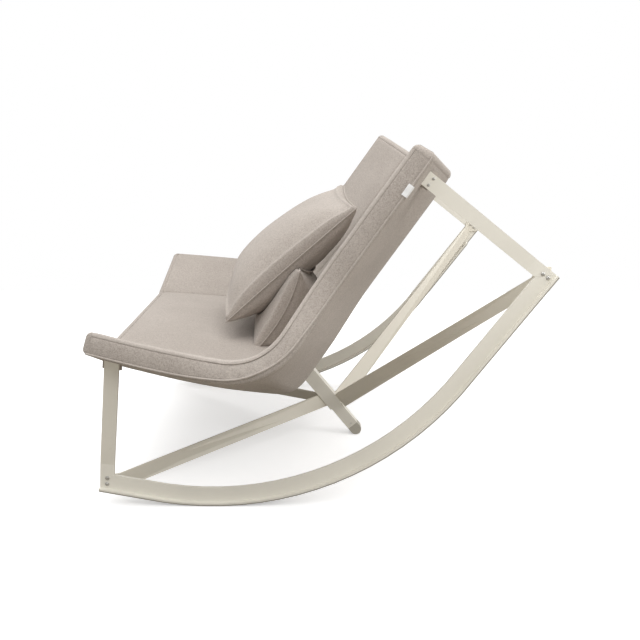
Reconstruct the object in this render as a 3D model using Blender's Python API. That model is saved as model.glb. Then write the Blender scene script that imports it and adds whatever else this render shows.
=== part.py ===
"""Rocking lounge chair: a padded tray-like shell on two steel rocker frames.

Metres, +Z up. The front of the chair points to -X and the sitter's left is -Y.
The origin is on the floor, under the middle of the chair.

Two flat side frames, each a rocker, a front leg and a back link, are tied by four
brace strips that meet at a square sleeve under the shell. A stop bar slides in that
sleeve: pulled down to the floor it holds the chair still, pushed up it lets it rock.
"""

import math

import bmesh
import bpy
from mathutils import Matrix, Vector

# ---------------------------------------------------------------- sizes
GAP = 0.0003                # clearance between neighbouring solids

# shell, seen from the side: the line of its rim
RIM_X, RIM_Z = -0.135, 0.414        # where the seat line and the back line would meet
SEAT_SLOPE = math.radians(7.8)      # the seat falls towards the back
BACK_SLOPE = math.radians(54.4)     # the back rises from the floor's level
RIM_BEND = 0.142                    # radius of the rim between seat and back
CENTRE_BEND = 0.034                 # radius of the middle panel's bend, on the sitter's side
SEAT_LEN = 0.403                    # meeting point to the front edge
BACK_LEN = 0.589                    # meeting point to the top edge

# shell, seen from the front
RIM_HALF = 0.619            # middle to the rim's upper edge, at the front and the top
CENTRE_HALF = 0.351         # middle to the fold between seat and wing, there too
FLARE = 0.091               # how much wider each half is at the bend
FLARE_PEAK = 0.057          # start of the rim's bend to its widest place
FLARE_END = 0.330           # start of the rim's bend to where the flare has gone
WING_RISE = 0.095           # how far the wings stand up from the seat
FOLD_R = 0.050              # radius of the fold, on the sitter's side
SHELL_T = 0.055             # whole thickness of the upholstered shell
INNER_T = 0.022             # padding on the sitter's side
CORE_T = 0.012              # bent plywood core
EDGE_R = 0.010              # rounding of the upholstered edges
BAND_T = 0.014              # bands that close the front and the top edge
CORE_MARGIN = 0.024         # padding past the core's edges at the rim
CROWN = 0.007               # swell of the middle panels

# side frames
FRAME_IN = 0.098            # rim's edge to the centre plane of a side frame
FRAME_HALF = RIM_HALF - FRAME_IN
BAR_W = 0.035               # flat bar of legs and links
BAR_T = 0.008
ROCKER_X = -0.269           # where the rocker touches the floor
ROCKER_R = 0.788
FACET = math.radians(3.5)   # one flat of the rocker's curve
FRONT_FLATS = 3             # flats before the straight front run
REAR_FLATS = 15             # flats before the straight rear run
FRONT_SHORT = 0.278         # how much shorter the front run is than the seat, so the leg follows it
REAR_SHORT = 0.267          # how much shorter the rear run is than the back, so the link follows it
FRONT_RUN = SEAT_LEN - FRONT_SHORT      # start of the front run to the middle of the leg
REAR_RUN = BACK_LEN - REAR_SHORT        # start of the rear run to the middle of the link
TREAD_T = 0.003             # rubber strip under the rocker
FLANGE_T = 0.004
FLANGE_OUT = 0.018          # web's middle to the edge of the flange
FRONT_NOTCH = 0.066             # inner flange left out at the corners, for the tabs
REAR_NOTCH = 0.074
WEB_H = 0.037
LEG_LEAN = math.radians(86.3)
LEG_RISE = math.radians(82.1)
LINK_LEAN = math.radians(141.6)
LINK_RISE = math.radians(141.7)
CRANK_AT = 0.045                # corner's middle to the outward crank of a bar
HEAD_IN = 0.033                 # rim's edge to the upper end of a bar
HEAD_HALF = RIM_HALF - HEAD_IN

# brace strips
BRACE_T = 0.005
FRONT_DEPTH = (0.041, 0.033)    # at the corner and at the sleeve
REAR_DEPTH = (0.040, 0.038)
FRONT_DROP = 0.009              # strip's middle under the corner bolts
REAR_DROP = 0.010
REAR_FALL = 0.218               # how much lower the rear strips start, for each metre of tab
BRACE_Z = 0.1075                # height of the strips at the sleeve
BRACE_SPREAD = 0.0115           # middle to a strip where it meets the sleeve
TAB_L = 0.036                   # flat tab of a strip against the side frame

# stop bar and its sleeve
STOP_X = 0.107                  # where the stop bar stands on the floor
STOP_SLOPE = math.radians(50.9)
SLEEVE_W = 0.040
SLEEVE_WALL = 0.003
STOP_REACH = 0.097              # foot's middle to the sleeve's mouth
STOP_INSIDE = 0.100             # length of bar inside the sleeve
STOP_WALL = 0.003
PLUG_L = 0.018                  # shoe's plug inside the bar
PIN_R = 0.002
KNOB_R = 0.012
KNOB_L = 0.018
KNOB_UP = 0.045                 # knob above the sleeve's mouth
SADDLE_T = 0.004
SADDLE_HALF = 0.062             # half width of the saddle plate
SADDLE_REACH = 0.023            # half of its length, along the rim's bend

# brackets, bolts and screws
BRACKET_T = 0.003
BRACKET_L = 0.046
BRACKET_IN = 0.040              # flange against the core
BRACKET_DOWN = 0.043            # flange against the bar
BRACKET_LIP = 0.005             # flange past the bar's outer face
SCREW_DOWN = 0.0375             # bar's screws under the core, clear of the padding
BOLT_R = 0.003
HEAD_R = 0.0055
HEAD_H = 0.0028
BOLT_HALF_PITCH = 0.008
SCREW_R = 0.002
SCREW_HEAD_R = 0.0038
SCREW_HEAD_H = 0.0020

# pillows: half length up the slope, half width across, crown above and below the seam
LARGE_PILLOW = (0.2407, 0.235, 0.085, 0.085)
LARGE_AT = (-0.0948, 0.0543, 0.5617)
LARGE_TILT = math.radians(41.2)
LARGE_ROLL = math.radians(4.5)
SMALL_PILLOW = (0.130, 0.190, 0.055, 0.100)
SMALL_AT = (-0.120, -0.030, 0.4268)
SMALL_TILT = math.radians(60.5)
SMALL_ROLL = math.radians(0.0)
PILLOW_PULL = 0.05          # how far the sides are drawn in between the corners
PILLOW_CLEAR = 0.0008       # pressed faces to what carries them
PILLOW_SAG = 0.025          # how far the filling settles onto what carries it
PILLOW_PART = 0.006         # between the two pillows

# ---------------------------------------------------------------- materials
STEEL = ((0.80, 0.77, 0.68, 1.0), 0.0, 0.42)
DARK_STEEL = ((0.62, 0.59, 0.52, 1.0), 0.0, 0.45)
ZINC = ((0.70, 0.69, 0.66, 1.0), 0.9, 0.35)
RUBBER = ((0.16, 0.14, 0.11, 1.0), 0.0, 0.75)
PLYWOOD = ((0.62, 0.46, 0.28, 1.0), 0.0, 0.60)
FABRIC = ((0.50, 0.44, 0.39, 1.0), 0.0, 0.95)
LABEL = ((0.86, 0.86, 0.86, 1.0), 0.0, 0.80)


def clear_scene():
    for obj in list(bpy.data.objects):
        bpy.data.objects.remove(obj, do_unlink=True)


def make_material(name, look):
    colour, metallic, roughness = look
    material = bpy.data.materials.new(name)
    material.use_nodes = True
    shader = material.node_tree.nodes["Principled BSDF"]
    shader.inputs["Base Color"].default_value = colour
    shader.inputs["Metallic"].default_value = metallic
    shader.inputs["Roughness"].default_value = roughness
    material.diffuse_color = colour
    return material


def finish_mesh(name, bm, look, smooth=None):
    """Turn a bmesh into a named object with its own material."""
    bmesh.ops.remove_doubles(bm, verts=bm.verts, dist=1e-6)
    bmesh.ops.recalc_face_normals(bm, faces=bm.faces)
    if bm.calc_volume(signed=True) < 0.0:
        bmesh.ops.reverse_faces(bm, faces=bm.faces)
    low = Vector([min(v.co[k] for v in bm.verts) for k in range(3)])
    high = Vector([max(v.co[k] for v in bm.verts) for k in range(3)])
    origin = (low + high) / 2
    for vert in bm.verts:
        vert.co = vert.co - origin
    mesh = bpy.data.meshes.new(name)
    bm.to_mesh(mesh)
    bm.free()
    obj = bpy.data.objects.new(name, mesh)
    obj.location = origin
    bpy.context.scene.collection.objects.link(obj)
    if look is not None:
        mesh.materials.append(make_material(name, look))
    if smooth is not None:
        mesh.shade_smooth()
        mesh.set_sharp_from_angle(angle=smooth)
    return obj


def carry(name, place, pieces, turn=None):
    """Parent pieces to a named empty, without moving them."""
    empty = bpy.data.objects.new(name, None)
    matrix = Matrix.Translation(place)
    if turn is not None:
        matrix = matrix @ turn.to_matrix().to_4x4()
    empty.matrix_world = matrix
    bpy.context.scene.collection.objects.link(empty)
    for piece in pieces:
        piece.parent = empty
        piece.matrix_parent_inverse = matrix.inverted()


def is_flat(a, b, c, d):
    normal = (b - a).cross(c - a)
    return normal.length < 1e-9 or abs((d - a).dot(normal.normalized())) < 1e-6


def add_loft(bm, rings, caps=True, spans=None):
    """Join rings of equal length into one closed body.

    With spans, a size for each point of a ring, twisted faces are split from the smaller
    size to the larger, so that neighbouring bodies are split alike and stay apart.
    """
    rows = [[bm.verts.new(p) for p in ring] for ring in rings]
    count = len(rows[0])
    for a, b in zip(rows, rows[1:]):
        for i in range(count):
            j = (i + 1) % count
            if spans is None or is_flat(a[i].co, a[j].co, b[j].co, b[i].co):
                bm.faces.new((a[i], a[j], b[j], b[i]))
            elif spans[i] <= spans[j]:
                bm.faces.new((a[i], a[j], b[j]))
                bm.faces.new((a[i], b[j], b[i]))
            else:
                bm.faces.new((a[i], a[j], b[i]))
                bm.faces.new((a[j], b[j], b[i]))
    if caps:
        bm.faces.new(rows[0])
        bm.faces.new(list(reversed(rows[-1])))
    return rows


def loft(name, rings, look, smooth=None, spans=None):
    bm = bmesh.new()
    add_loft(bm, rings, True, spans)
    return finish_mesh(name, bm, look, smooth)


def cut(target, cutters):
    """Subtract guide solids from a piece."""
    for cutter in cutters:
        cutter.hide_render = True
        cutter.display_type = "WIRE"
        modifier = target.modifiers.new(cutter.name, "BOOLEAN")
        modifier.operation = "DIFFERENCE"
        modifier.solver = "EXACT"
        modifier.object = cutter


def turned(bm, start, axis, profile, segments):
    """Revolve a profile of (distance along axis, radius) about an axis."""
    axis = Vector(axis).normalized()
    side = axis.orthogonal().normalized()
    up = axis.cross(side)
    rings = []
    for along, radius in profile:
        ring = []
        for k in range(segments):
            a = 2.0 * math.pi * k / segments
            ring.append(Vector(start) + axis * along + (side * math.cos(a) + up * math.sin(a)) * radius)
        rings.append(ring)
    add_loft(bm, rings)


# ---------------------------------------------------------------- plane geometry
def direction(angle):
    return Vector((math.cos(angle), math.sin(angle)))


def meet(p, d, q, e):
    """Point where the line p + t d meets the line q + k e."""
    det = d.x * e.y - d.y * e.x
    r = q - p
    t = (r.x * e.y - r.y * e.x) / det
    return p + d * t


# the rim's line, seat to back, with x and z as its two coordinates
SEAT_DIR = direction(-SEAT_SLOPE)
SEAT_UP = direction(math.pi / 2 - SEAT_SLOPE)
BACK_DIR = direction(BACK_SLOPE)
BACK_UP = direction(math.pi / 2 + BACK_SLOPE)
TURN = SEAT_SLOPE + BACK_SLOPE
RIM_TANGENT = RIM_BEND * math.tan(TURN / 2)
RIM_MEET = Vector((RIM_X, RIM_Z))
BEND_START = RIM_MEET - SEAT_DIR * RIM_TANGENT
BEND_END = RIM_MEET + BACK_DIR * RIM_TANGENT
BEND_CENTRE = BEND_START + SEAT_UP * RIM_BEND
ARC_LEN = RIM_BEND * TURN
S_FRONT = -(SEAT_LEN - RIM_TANGENT)
S_TOP = ARC_LEN + BACK_LEN - RIM_TANGENT

# across the shell, at its ends
WING_RUN = RIM_HALF - CENTRE_HALF
WING_TILT = math.atan2(WING_RISE, WING_RUN)
FLAT_HALF = CENTRE_HALF - FOLD_R * math.tan(WING_TILT / 2)
FOLD_U = FLAT_HALF + FOLD_R * WING_TILT / 2
FOLD_END_U = FLAT_HALF + FOLD_R * WING_TILT
RIM_U = FOLD_END_U + WING_RUN / math.cos(WING_TILT) - FOLD_R * math.tan(WING_TILT / 2)
CORE_TOP = INNER_T
CORE_LOW = INNER_T + CORE_T
CORE_U = RIM_U - CORE_MARGIN

# the middle panel turns in a tighter bend, whose centre lies outside the rim's
BEND_STEP = (RIM_BEND + WING_RISE - CENTRE_BEND) / math.cos(TURN / 2)
CENTRE_AT = BEND_CENTRE + direction((BACK_SLOPE - SEAT_SLOPE - math.pi) / 2) * BEND_STEP


def rim_line(s):
    """Point, direction and upward normal of the rim's line at length s from the bend."""
    if s <= 0.0:
        return BEND_START + SEAT_DIR * s, SEAT_DIR, SEAT_UP
    if s >= ARC_LEN:
        return BEND_END + BACK_DIR * (s - ARC_LEN), BACK_DIR, BACK_UP
    angle = -SEAT_SLOPE + s / RIM_BEND
    up = direction(math.pi / 2 + angle)
    return BEND_CENTRE - up * RIM_BEND, direction(angle), up


def flare(s):
    """How much further out the fold and the rim are than at the ends of the shell."""
    if s < FLARE_PEAK:
        return FLARE * math.sin(math.pi / 2 * max(s - S_FRONT, 0.0) / (FLARE_PEAK - S_FRONT))
    share = min((s - FLARE_PEAK) / (FLARE_END - FLARE_PEAK), 1.0)
    return FLARE * (1.0 + math.cos(math.pi * share)) / 2


def deeper(s, t):
    """How far the middle panel, t below its surface, lies past the rim's own bend."""
    if s <= 0.0 or s >= ARC_LEN:
        return 0.0
    off = abs(s / RIM_BEND - TURN / 2)
    radius = CENTRE_BEND + t
    plain = RIM_BEND + WING_RISE + t
    side, ahead = radius * math.sin(TURN / 2), BEND_STEP + radius * math.cos(TURN / 2)
    if off >= math.atan2(side, ahead):
        return plain / math.cos(TURN / 2 - off) - plain
    return BEND_STEP * math.cos(off) + math.sqrt(radius ** 2 - (BEND_STEP * math.sin(off)) ** 2) - plain


def section(s):
    """Rise and tilt of the wing, half of the flat, and stretch of the wing, at length s."""
    rise = WING_RISE + deeper(s, 0.0)
    tilt = math.atan2(rise, WING_RUN)
    flat = CENTRE_HALF + flare(s) - FOLD_R * math.tan(tilt / 2)
    wing = WING_RUN / math.cos(tilt) - FOLD_R * math.tan(tilt / 2)
    return rise, tilt, flat, wing / (RIM_U - FOLD_END_U)


def across(s, u, t):
    """Sideways place and height over the rim's line, u along the surface and t below it."""
    rise, tilt, flat, stretch = section(s)
    a = abs(u)
    thick = t + deeper(s, t) - deeper(s, 0.0)
    if a <= FLAT_HALF:
        y, w, angle = a * flat / FLAT_HALF, -rise, 0.0
    else:
        share = min((a - FLAT_HALF) / (FOLD_END_U - FLAT_HALF), 1.0)
        angle = tilt * share
        along = max(a - FOLD_END_U, 0.0) * stretch
        y = flat + FOLD_R * math.sin(angle) + along * math.cos(angle)
        w = -rise + FOLD_R * (1.0 - math.cos(angle)) + along * math.sin(angle)
        thick += (t - thick) * share
    y += thick * math.sin(angle)
    w -= thick * math.cos(angle)
    return math.copysign(y, u), w


def wing_height(s, y, t):
    """Height over the rim's line of the wing, t below its surface, at a sideways place."""
    rise, tilt, _, _ = section(s)
    return -rise + (abs(y) - CENTRE_HALF - flare(s)) * math.tan(tilt) - t / math.cos(tilt)


def on_shell(s, u, t):
    """Point of the shell in space."""
    y, w = across(s, u, t)
    point, _, up = rim_line(s)
    p = point + up * w
    return Vector((p.x, y, p.y))


def shell_normal(s, u, t=0.0):
    """Outward normal of the shell on the sitter's side."""
    step = 0.0005
    along = on_shell(s + step, u, t) - on_shell(s - step, u, t)
    aside = on_shell(s, u + step, t) - on_shell(s, u - step, t)
    return along.cross(aside).normalized()


def round_inset(distance):
    """How far a rounded edge lies inside the outline, near an end of the shell."""
    if distance >= EDGE_R:
        return 0.0
    return EDGE_R - math.sqrt(max(EDGE_R ** 2 - (EDGE_R - distance) ** 2, 0.0))


def shell_solid(name, stations, outline, look):
    """Sweep an outline of (u, t) along the rim's line."""
    rings = [[on_shell(s, u, t) for u, t in outline(s)] for s in stations]
    spans = [abs(u) for u, _ in outline(stations[0])]
    return loft(name, rings, look, math.radians(35), spans)


def spread(a, b, count):
    return [a + (b - a) * k / (count - 1) for k in range(count)]


def body_stations(s0, s1):
    """Stations between the two end bands, closest in the middle of the bend."""
    seat = spread(s0, 0.0, 6)[:-1]
    bend = [ARC_LEN / 2 * (1.0 + math.copysign(abs(k / 7) ** 1.7, k)) for k in range(-7, 8)]
    back = spread(ARC_LEN, s1, 8)[1:]
    return seat + bend + back


# ---------------------------------------------------------------- shell
BAND_S0 = S_FRONT + BAND_T
BAND_S1 = S_TOP - BAND_T


def swell(s, u, half):
    """Crown of the middle panel, nothing at its edges."""
    along = min(1.0, (s - BAND_S0) / 0.08, (BAND_S1 - s) / 0.08)
    along = max(along, 0.0)
    side = max(1.0 - (u / half) ** 4, 0.0)
    return CROWN * math.sin(along * math.pi / 2) * side


def build_shell():
    stations = body_stations(BAND_S0 + GAP, BAND_S1 - GAP)
    flats = spread(-FLAT_HALF, FLAT_HALF, 9)
    fold = spread(FLAT_HALF, FOLD_U - GAP / 2, 3)[1:]
    centre_u = [-u for u in reversed(fold)] + flats + fold

    def inner_outline(s):
        top = [(u, -swell(s, u, FOLD_U)) for u in centre_u]
        low = [(u, CORE_TOP - GAP) for u in reversed(centre_u)]
        return top + low

    def outer_outline(s):
        top = [(u, CORE_LOW + GAP) for u in centre_u]
        low = [(u, SHELL_T) for u in reversed(centre_u)]
        return top + low

    core_fold = spread(FLAT_HALF, FOLD_END_U, 4)
    core_u = [-CORE_U] + [-u for u in reversed(core_fold)] + core_fold + [CORE_U]

    def core_outline(s):
        return [(u, CORE_TOP) for u in core_u] + [(u, CORE_LOW) for u in reversed(core_u)]

    core = shell_solid("shell_core", stations, core_outline, PLYWOOD)
    inner = shell_solid("seat_back_pad", stations, inner_outline, FABRIC)
    outer = shell_solid("outer_back_pad", stations, outer_outline, FABRIC)

    fold_out = spread(FOLD_U + GAP / 2, FOLD_END_U, 3)
    wing_u = fold_out + spread(FOLD_END_U, RIM_U - EDGE_R, 5)[1:]
    corner = [math.pi / 2 * k / 4 for k in range(1, 5)]

    def wing_outline(side):
        top = [(u, 0.0) for u in wing_u]
        upper = [(RIM_U - EDGE_R + EDGE_R * math.sin(a), EDGE_R - EDGE_R * math.cos(a)) for a in corner]
        lower = [(RIM_U - EDGE_R + EDGE_R * math.cos(a), SHELL_T - EDGE_R + EDGE_R * math.sin(a))
                 for a in corner]
        low = [(u, SHELL_T) for u in reversed(wing_u)]
        slot_u = fold_out + [CORE_U + GAP]
        slot = [(u, CORE_LOW + GAP) for u in slot_u] + [(u, CORE_TOP - GAP) for u in reversed(slot_u)]
        points = top + upper + [(RIM_U, SHELL_T - EDGE_R)] + lower + low[1:] + slot
        points = [(side * u, t) for u, t in points]
        return points

    wings = {}
    for name, side in (("left_wing_pad", -1), ("right_wing_pad", 1)):
        wings[side] = shell_solid(name, stations, lambda s, k=side: wing_outline(k), FABRIC)

    band_u = [RIM_U - EDGE_R] + list(reversed(spread(FOLD_END_U, RIM_U - EDGE_R, 3)[:-1]))
    band_u = band_u + list(reversed(core_fold[:-1])) + [FLAT_HALF / 2, 0.0]
    band_u = band_u + [-u for u in reversed(band_u[:-1])]

    def band_outline(s):
        inset = round_inset(min(s - S_FRONT, S_TOP - s))
        points = []
        for u in reversed(band_u):
            points.append((u, inset))
        for k in range(1, 4):
            a = math.pi / 2 * k / 4
            points.append((RIM_U - EDGE_R + (EDGE_R - inset) * math.sin(a),
                           EDGE_R - (EDGE_R - inset) * math.cos(a)))
        points.append((RIM_U - inset, EDGE_R))
        points.append((RIM_U - inset, SHELL_T - EDGE_R))
        for k in range(1, 4):
            a = math.pi / 2 * k / 4
            points.append((RIM_U - EDGE_R + (EDGE_R - inset) * math.cos(a),
                           SHELL_T - EDGE_R + (EDGE_R - inset) * math.sin(a)))
        for u in band_u:
            points.append((u, SHELL_T - inset))
        for k in range(1, 4):
            a = math.pi / 2 * k / 4
            points.append((-RIM_U + EDGE_R - (EDGE_R - inset) * math.sin(a),
                           SHELL_T - EDGE_R + (EDGE_R - inset) * math.cos(a)))
        points.append((-RIM_U + inset, SHELL_T - EDGE_R))
        points.append((-RIM_U + inset, EDGE_R))
        for k in range(1, 4):
            a = math.pi / 2 * k / 4
            points.append((-RIM_U + EDGE_R - (EDGE_R - inset) * math.cos(a),
                           EDGE_R - (EDGE_R - inset) * math.sin(a)))
        return points

    near_end = [0.0, EDGE_R * 0.3, EDGE_R, BAND_T]
    shell_solid("front_band", [S_FRONT + d for d in near_end], band_outline, FABRIC)
    shell_solid("top_band", [S_TOP - d for d in reversed(near_end)], band_outline, FABRIC)
    return core, inner, outer, wings


# ---------------------------------------------------------------- side frames
def tread_station(k):
    """Corner of the rocker's flats, in x and z, with its inward direction."""
    angle = (k + 0.5) * FACET
    reach = ROCKER_R / math.cos(FACET / 2)
    inward = Vector((-math.sin(angle), math.cos(angle)))
    centre = Vector((ROCKER_X, ROCKER_R))
    return centre - inward * reach, inward / math.cos(FACET / 2)


FRONT_DIR = direction(math.pi - FRONT_FLATS * FACET)
FRONT_UP = direction(math.pi / 2 - FRONT_FLATS * FACET)
REAR_DIR = direction(REAR_FLATS * FACET)
REAR_UP = direction(math.pi / 2 + REAR_FLATS * FACET)
ROCKER_MIDDLE = Vector((ROCKER_X, ROCKER_R))
FRONT_BASE = ROCKER_MIDDLE - FRONT_UP * ROCKER_R
REAR_BASE = ROCKER_MIDDLE - REAR_UP * ROCKER_R
FLANGE_LOW = TREAD_T + GAP
WEB_LOW = FLANGE_LOW + FLANGE_T
WEB_TOP = WEB_LOW + WEB_H
WEB_MID = (WEB_LOW + WEB_TOP) / 2
FRONT_CORNER = FRONT_BASE + FRONT_DIR * FRONT_RUN + FRONT_UP * WEB_MID
REAR_CORNER = REAR_BASE + REAR_DIR * REAR_RUN + REAR_UP * WEB_MID


class Corner:
    """Mitred joint between a rocker's end and the bar that rises from it."""

    def __init__(self, base, run_dir, run_up, centre, lean):
        self.base, self.run_dir, self.run_up = base, run_dir, run_up
        self.centre = centre
        self.bar_dir = direction(lean)
        side = Vector((-self.bar_dir.y, self.bar_dir.x))
        if side.dot(run_dir) < 0.0:
            side = -side
        self.side = side
        self.outer = meet(centre + side * (BAR_W / 2), self.bar_dir, base + run_up * WEB_LOW, run_dir)
        self.inner = meet(centre - side * (BAR_W / 2), self.bar_dir, base + run_up * WEB_TOP, run_dir)
        line = (self.outer - self.inner).normalized()
        up = Vector((-line.y, line.x))
        self.mitre_up = up if up.dot(self.bar_dir) > 0.0 else -up

    def along(self, point):
        return (point - self.base).dot(self.run_dir)


FRONT = Corner(FRONT_BASE, FRONT_DIR, FRONT_UP, FRONT_CORNER, LEG_LEAN)
REAR = Corner(REAR_BASE, REAR_DIR, REAR_UP, REAR_CORNER, LINK_LEAN)


def space(point, y):
    return Vector((point.x, y, point.y))


def build_rocker(name, side):
    """Bent T section: an upright web on a flange, mitred at both ends."""
    middle = side * FRAME_HALF
    half = BAR_T / 2
    short = half

    def ring(place, inward, lows, tops, inner):
        """place and inward give a line square to the tread; lows and tops are end points of the web"""
        def at(h, y):
            return space(place + inward * h, middle + side * y)
        low = lows if lows is not None else place + inward * WEB_LOW
        top = tops if tops is not None else place + inward * WEB_TOP
        return [at(FLANGE_LOW, FLANGE_OUT), at(FLANGE_LOW, -inner), at(WEB_LOW, -inner),
                space(low, middle - side * half), space(top, middle - side * half),
                space(top, middle + side * half), space(low, middle + side * half),
                at(WEB_LOW, FLANGE_OUT)]

    rings = []
    front_end = FRONT_BASE + FRONT_DIR * FRONT.along(FRONT.outer)
    rings.append(ring(front_end, FRONT_UP, FRONT.outer, FRONT.inner, short))
    notch = FRONT.along(FRONT.outer) - FRONT_NOTCH
    rings.append(ring(FRONT_BASE + FRONT_DIR * notch, FRONT_UP, None, None, short))
    rings.append(ring(FRONT_BASE + FRONT_DIR * (notch - 0.008), FRONT_UP, None, None, FLANGE_OUT))
    for k in range(-FRONT_FLATS, REAR_FLATS):
        place, inward = tread_station(k)
        rings.append(ring(place, inward, None, None, FLANGE_OUT))
    notch = REAR.along(REAR.outer) - REAR_NOTCH
    rings.append(ring(REAR_BASE + REAR_DIR * (notch - 0.008), REAR_UP, None, None, FLANGE_OUT))
    rings.append(ring(REAR_BASE + REAR_DIR * notch, REAR_UP, None, None, short))
    rear_end = REAR_BASE + REAR_DIR * REAR.along(REAR.outer)
    rings.append(ring(rear_end, REAR_UP, REAR.outer, REAR.inner, short))

    bm = bmesh.new()
    rows = add_loft(bm, rings, caps=False)
    for row in (rows[0], rows[-1]):
        bm.faces.new((row[0], row[1], row[2], row[3], row[6], row[7]))
        bm.faces.new((row[3], row[4], row[5], row[6]))
    return finish_mesh(name, bm, STEEL, math.radians(20))


def build_tread(name, side):
    """Rubber strip under the rocker's flange."""
    middle = side * FRAME_HALF
    edge = FLANGE_OUT - 0.001
    short = BAR_T / 2

    def ring(place, inward, inner):
        low, top = place, place + inward * TREAD_T
        return [space(low, middle + side * edge), space(low, middle - side * inner),
                space(top, middle - side * inner), space(top, middle + side * edge)]

    notch = FRONT.along(FRONT.outer) - FRONT_NOTCH
    rings = [ring(FRONT_BASE + FRONT_DIR * (FRONT.along(FRONT.outer) - 0.001), FRONT_UP, short),
             ring(FRONT_BASE + FRONT_DIR * notch, FRONT_UP, short),
             ring(FRONT_BASE + FRONT_DIR * (notch - 0.008), FRONT_UP, edge)]
    for k in range(-FRONT_FLATS, REAR_FLATS):
        place, inward = tread_station(k)
        rings.append(ring(place, inward, edge))
    notch = REAR.along(REAR.outer) - REAR_NOTCH
    rings.append(ring(REAR_BASE + REAR_DIR * (notch - 0.008), REAR_UP, edge))
    rings.append(ring(REAR_BASE + REAR_DIR * notch, REAR_UP, short))
    rings.append(ring(REAR_BASE + REAR_DIR * (REAR.along(REAR.outer) - 0.001), REAR_UP, short))
    return loft(name, rings, RUBBER, math.radians(20))


def meet_plane(start, along, plane_point, plane_normal):
    t = (plane_point - start).dot(plane_normal) / along.dot(plane_normal)
    return start + along * t


class Bar:
    """A leg or a link: upright beside the web, then cranked outwards to the core."""

    def __init__(self, corner, rise, on_back, side):
        self.corner = corner
        self.side = side
        base, run, up = (BEND_END, BACK_DIR, BACK_UP) if on_back else (BEND_START, SEAT_DIR, SEAT_UP)
        crank = corner.centre + corner.bar_dir * CRANK_AT
        s, u = (S_TOP if on_back else S_FRONT), RIM_U
        for _ in range(30):
            u += (HEAD_HALF - across(s, u, CORE_LOW)[0]) / math.cos(WING_TILT)
            w = across(s, u, CORE_LOW)[1]
            head = meet(base + up * w, run, crank, direction(rise))
            distance = (head - (base + up * w)).dot(run)
            s = ARC_LEN + distance if on_back else distance
        self.s, self.u = s, side * u

        middle = side * FRAME_HALF
        lower = space(corner.bar_dir, 0.0)
        self.along = (space(head, side * HEAD_HALF) - space(crank, middle)).normalized()
        foot_point = space(corner.inner + corner.mitre_up * GAP, middle)
        foot_normal = space(corner.mitre_up, 0.0)
        crank_normal = (lower + self.along).normalized()
        head_point, head_normal = self.core_plane(BRACKET_T + 2 * GAP)
        self.feet, self.cranks, self.heads = [], [], []
        for sw, sy in ((-1, -1), (1, -1), (1, 1), (-1, 1)):
            start = space(corner.centre + corner.side * (sw * BAR_W / 2), middle + side * sy * BAR_T / 2)
            self.feet.append(meet_plane(start, lower, foot_point, foot_normal))
            self.cranks.append(meet_plane(start, lower, space(crank, middle), crank_normal))
            self.heads.append(meet_plane(self.cranks[-1], self.along, head_point, head_normal))
        self.wide = self.cranks[1] - self.cranks[0]
        self.wide = (self.wide - self.along * self.wide.dot(self.along)).normalized()
        out = self.along.cross(self.wide)
        self.out = out if out.y * side > 0.0 else -out

    def core_plane(self, depth):
        """Point and outward normal of the plane lying depth under the core."""
        normal = shell_normal(self.s, self.u, CORE_LOW)
        return on_shell(self.s, self.u, CORE_LOW) - normal * depth, -normal

    def centre_at(self, back):
        """Middle of the upper length, at a distance down from the core."""
        centre = sum(self.cranks, Vector()) / 4
        point, normal = self.core_plane(0.0)
        return meet_plane(centre, self.along, point, normal) - self.along * back

    def inner_y(self, s, w, depth):
        """Sideways place of the plane lying depth inside the bar's inner face."""
        point, _, up = rim_line(s)
        p = point + up * w
        start = Vector((p.x, 0.0, p.y))
        face = self.cranks[0] - self.out * depth
        return (face - start).dot(self.out) / self.out.y


def build_bar(name, bar):
    return loft(name, [bar.feet, bar.cranks, bar.heads], STEEL)


def build_bracket(name, bar, half_len, look, grow=0.0):
    """Bent bracket: one flange on the core, one on the bar's inner face.

    With grow it is the room that the padding leaves round the bracket.
    """
    up_gap = GAP / math.cos(WING_TILT)
    thick = (BRACKET_T + grow) / math.cos(WING_TILT)
    face, back = GAP - grow, GAP + BRACKET_T + grow
    past = CORE_T / 2 if grow > 0.0 else 0.0
    start_w = across(bar.s, bar.u, CORE_LOW)[1]

    def core_w(s, y):
        return wing_height(s, y, CORE_LOW) - up_gap

    def corner(s, depth, drop):
        """Where a plane beside the bar meets a line drop under the core."""
        w = start_w
        for _ in range(12):
            w = core_w(s, bar.inner_y(s, w, depth)) - drop
        return bar.inner_y(s, w, depth), w

    y_in = bar.side * (abs(bar.inner_y(bar.s, start_w, back)) - BRACKET_IN - grow)
    y_out = bar.side * (abs(bar.inner_y(bar.s, start_w, face)) + BAR_T + BRACKET_LIP + grow)
    low_w = start_w - BRACKET_DOWN - grow
    rings = []
    for s in (bar.s - half_len, bar.s + half_len):
        point, _, up = rim_line(s)
        outline = [(y_in, core_w(s, y_in) + past), (y_out, core_w(s, y_out) + past),
                   (y_out, core_w(s, y_out) - thick), corner(s, face, thick),
                   (bar.inner_y(s, low_w, face), low_w), (bar.inner_y(s, low_w, back), low_w),
                   corner(s, back, thick), (y_in, core_w(s, y_in) - thick)]
        rings.append([space(point + up * w, y) for y, w in outline])
    return loft(name, rings, look)


def bolt(name, start, axis, length, radius, head_r, head_h, nut_r=0.0, nut_h=0.0):
    """Button head at start, shank along axis, and a low round nut at its end."""
    axis = Vector(axis).normalized()
    profile = [(-head_h, head_r * 0.55), (-head_h * 0.6, head_r * 0.9), (-GAP, head_r), (-GAP, radius)]
    if nut_r > 0.0:
        profile += [(length + GAP, radius), (length + GAP, nut_r), (length + nut_h, nut_r)]
    else:
        profile += [(length - radius * 0.6, radius), (length, radius * 0.4)]
    bm = bmesh.new()
    turned(bm, start, axis, profile, 10)
    return finish_mesh(name, bm, ZINC, math.radians(40))


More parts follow.
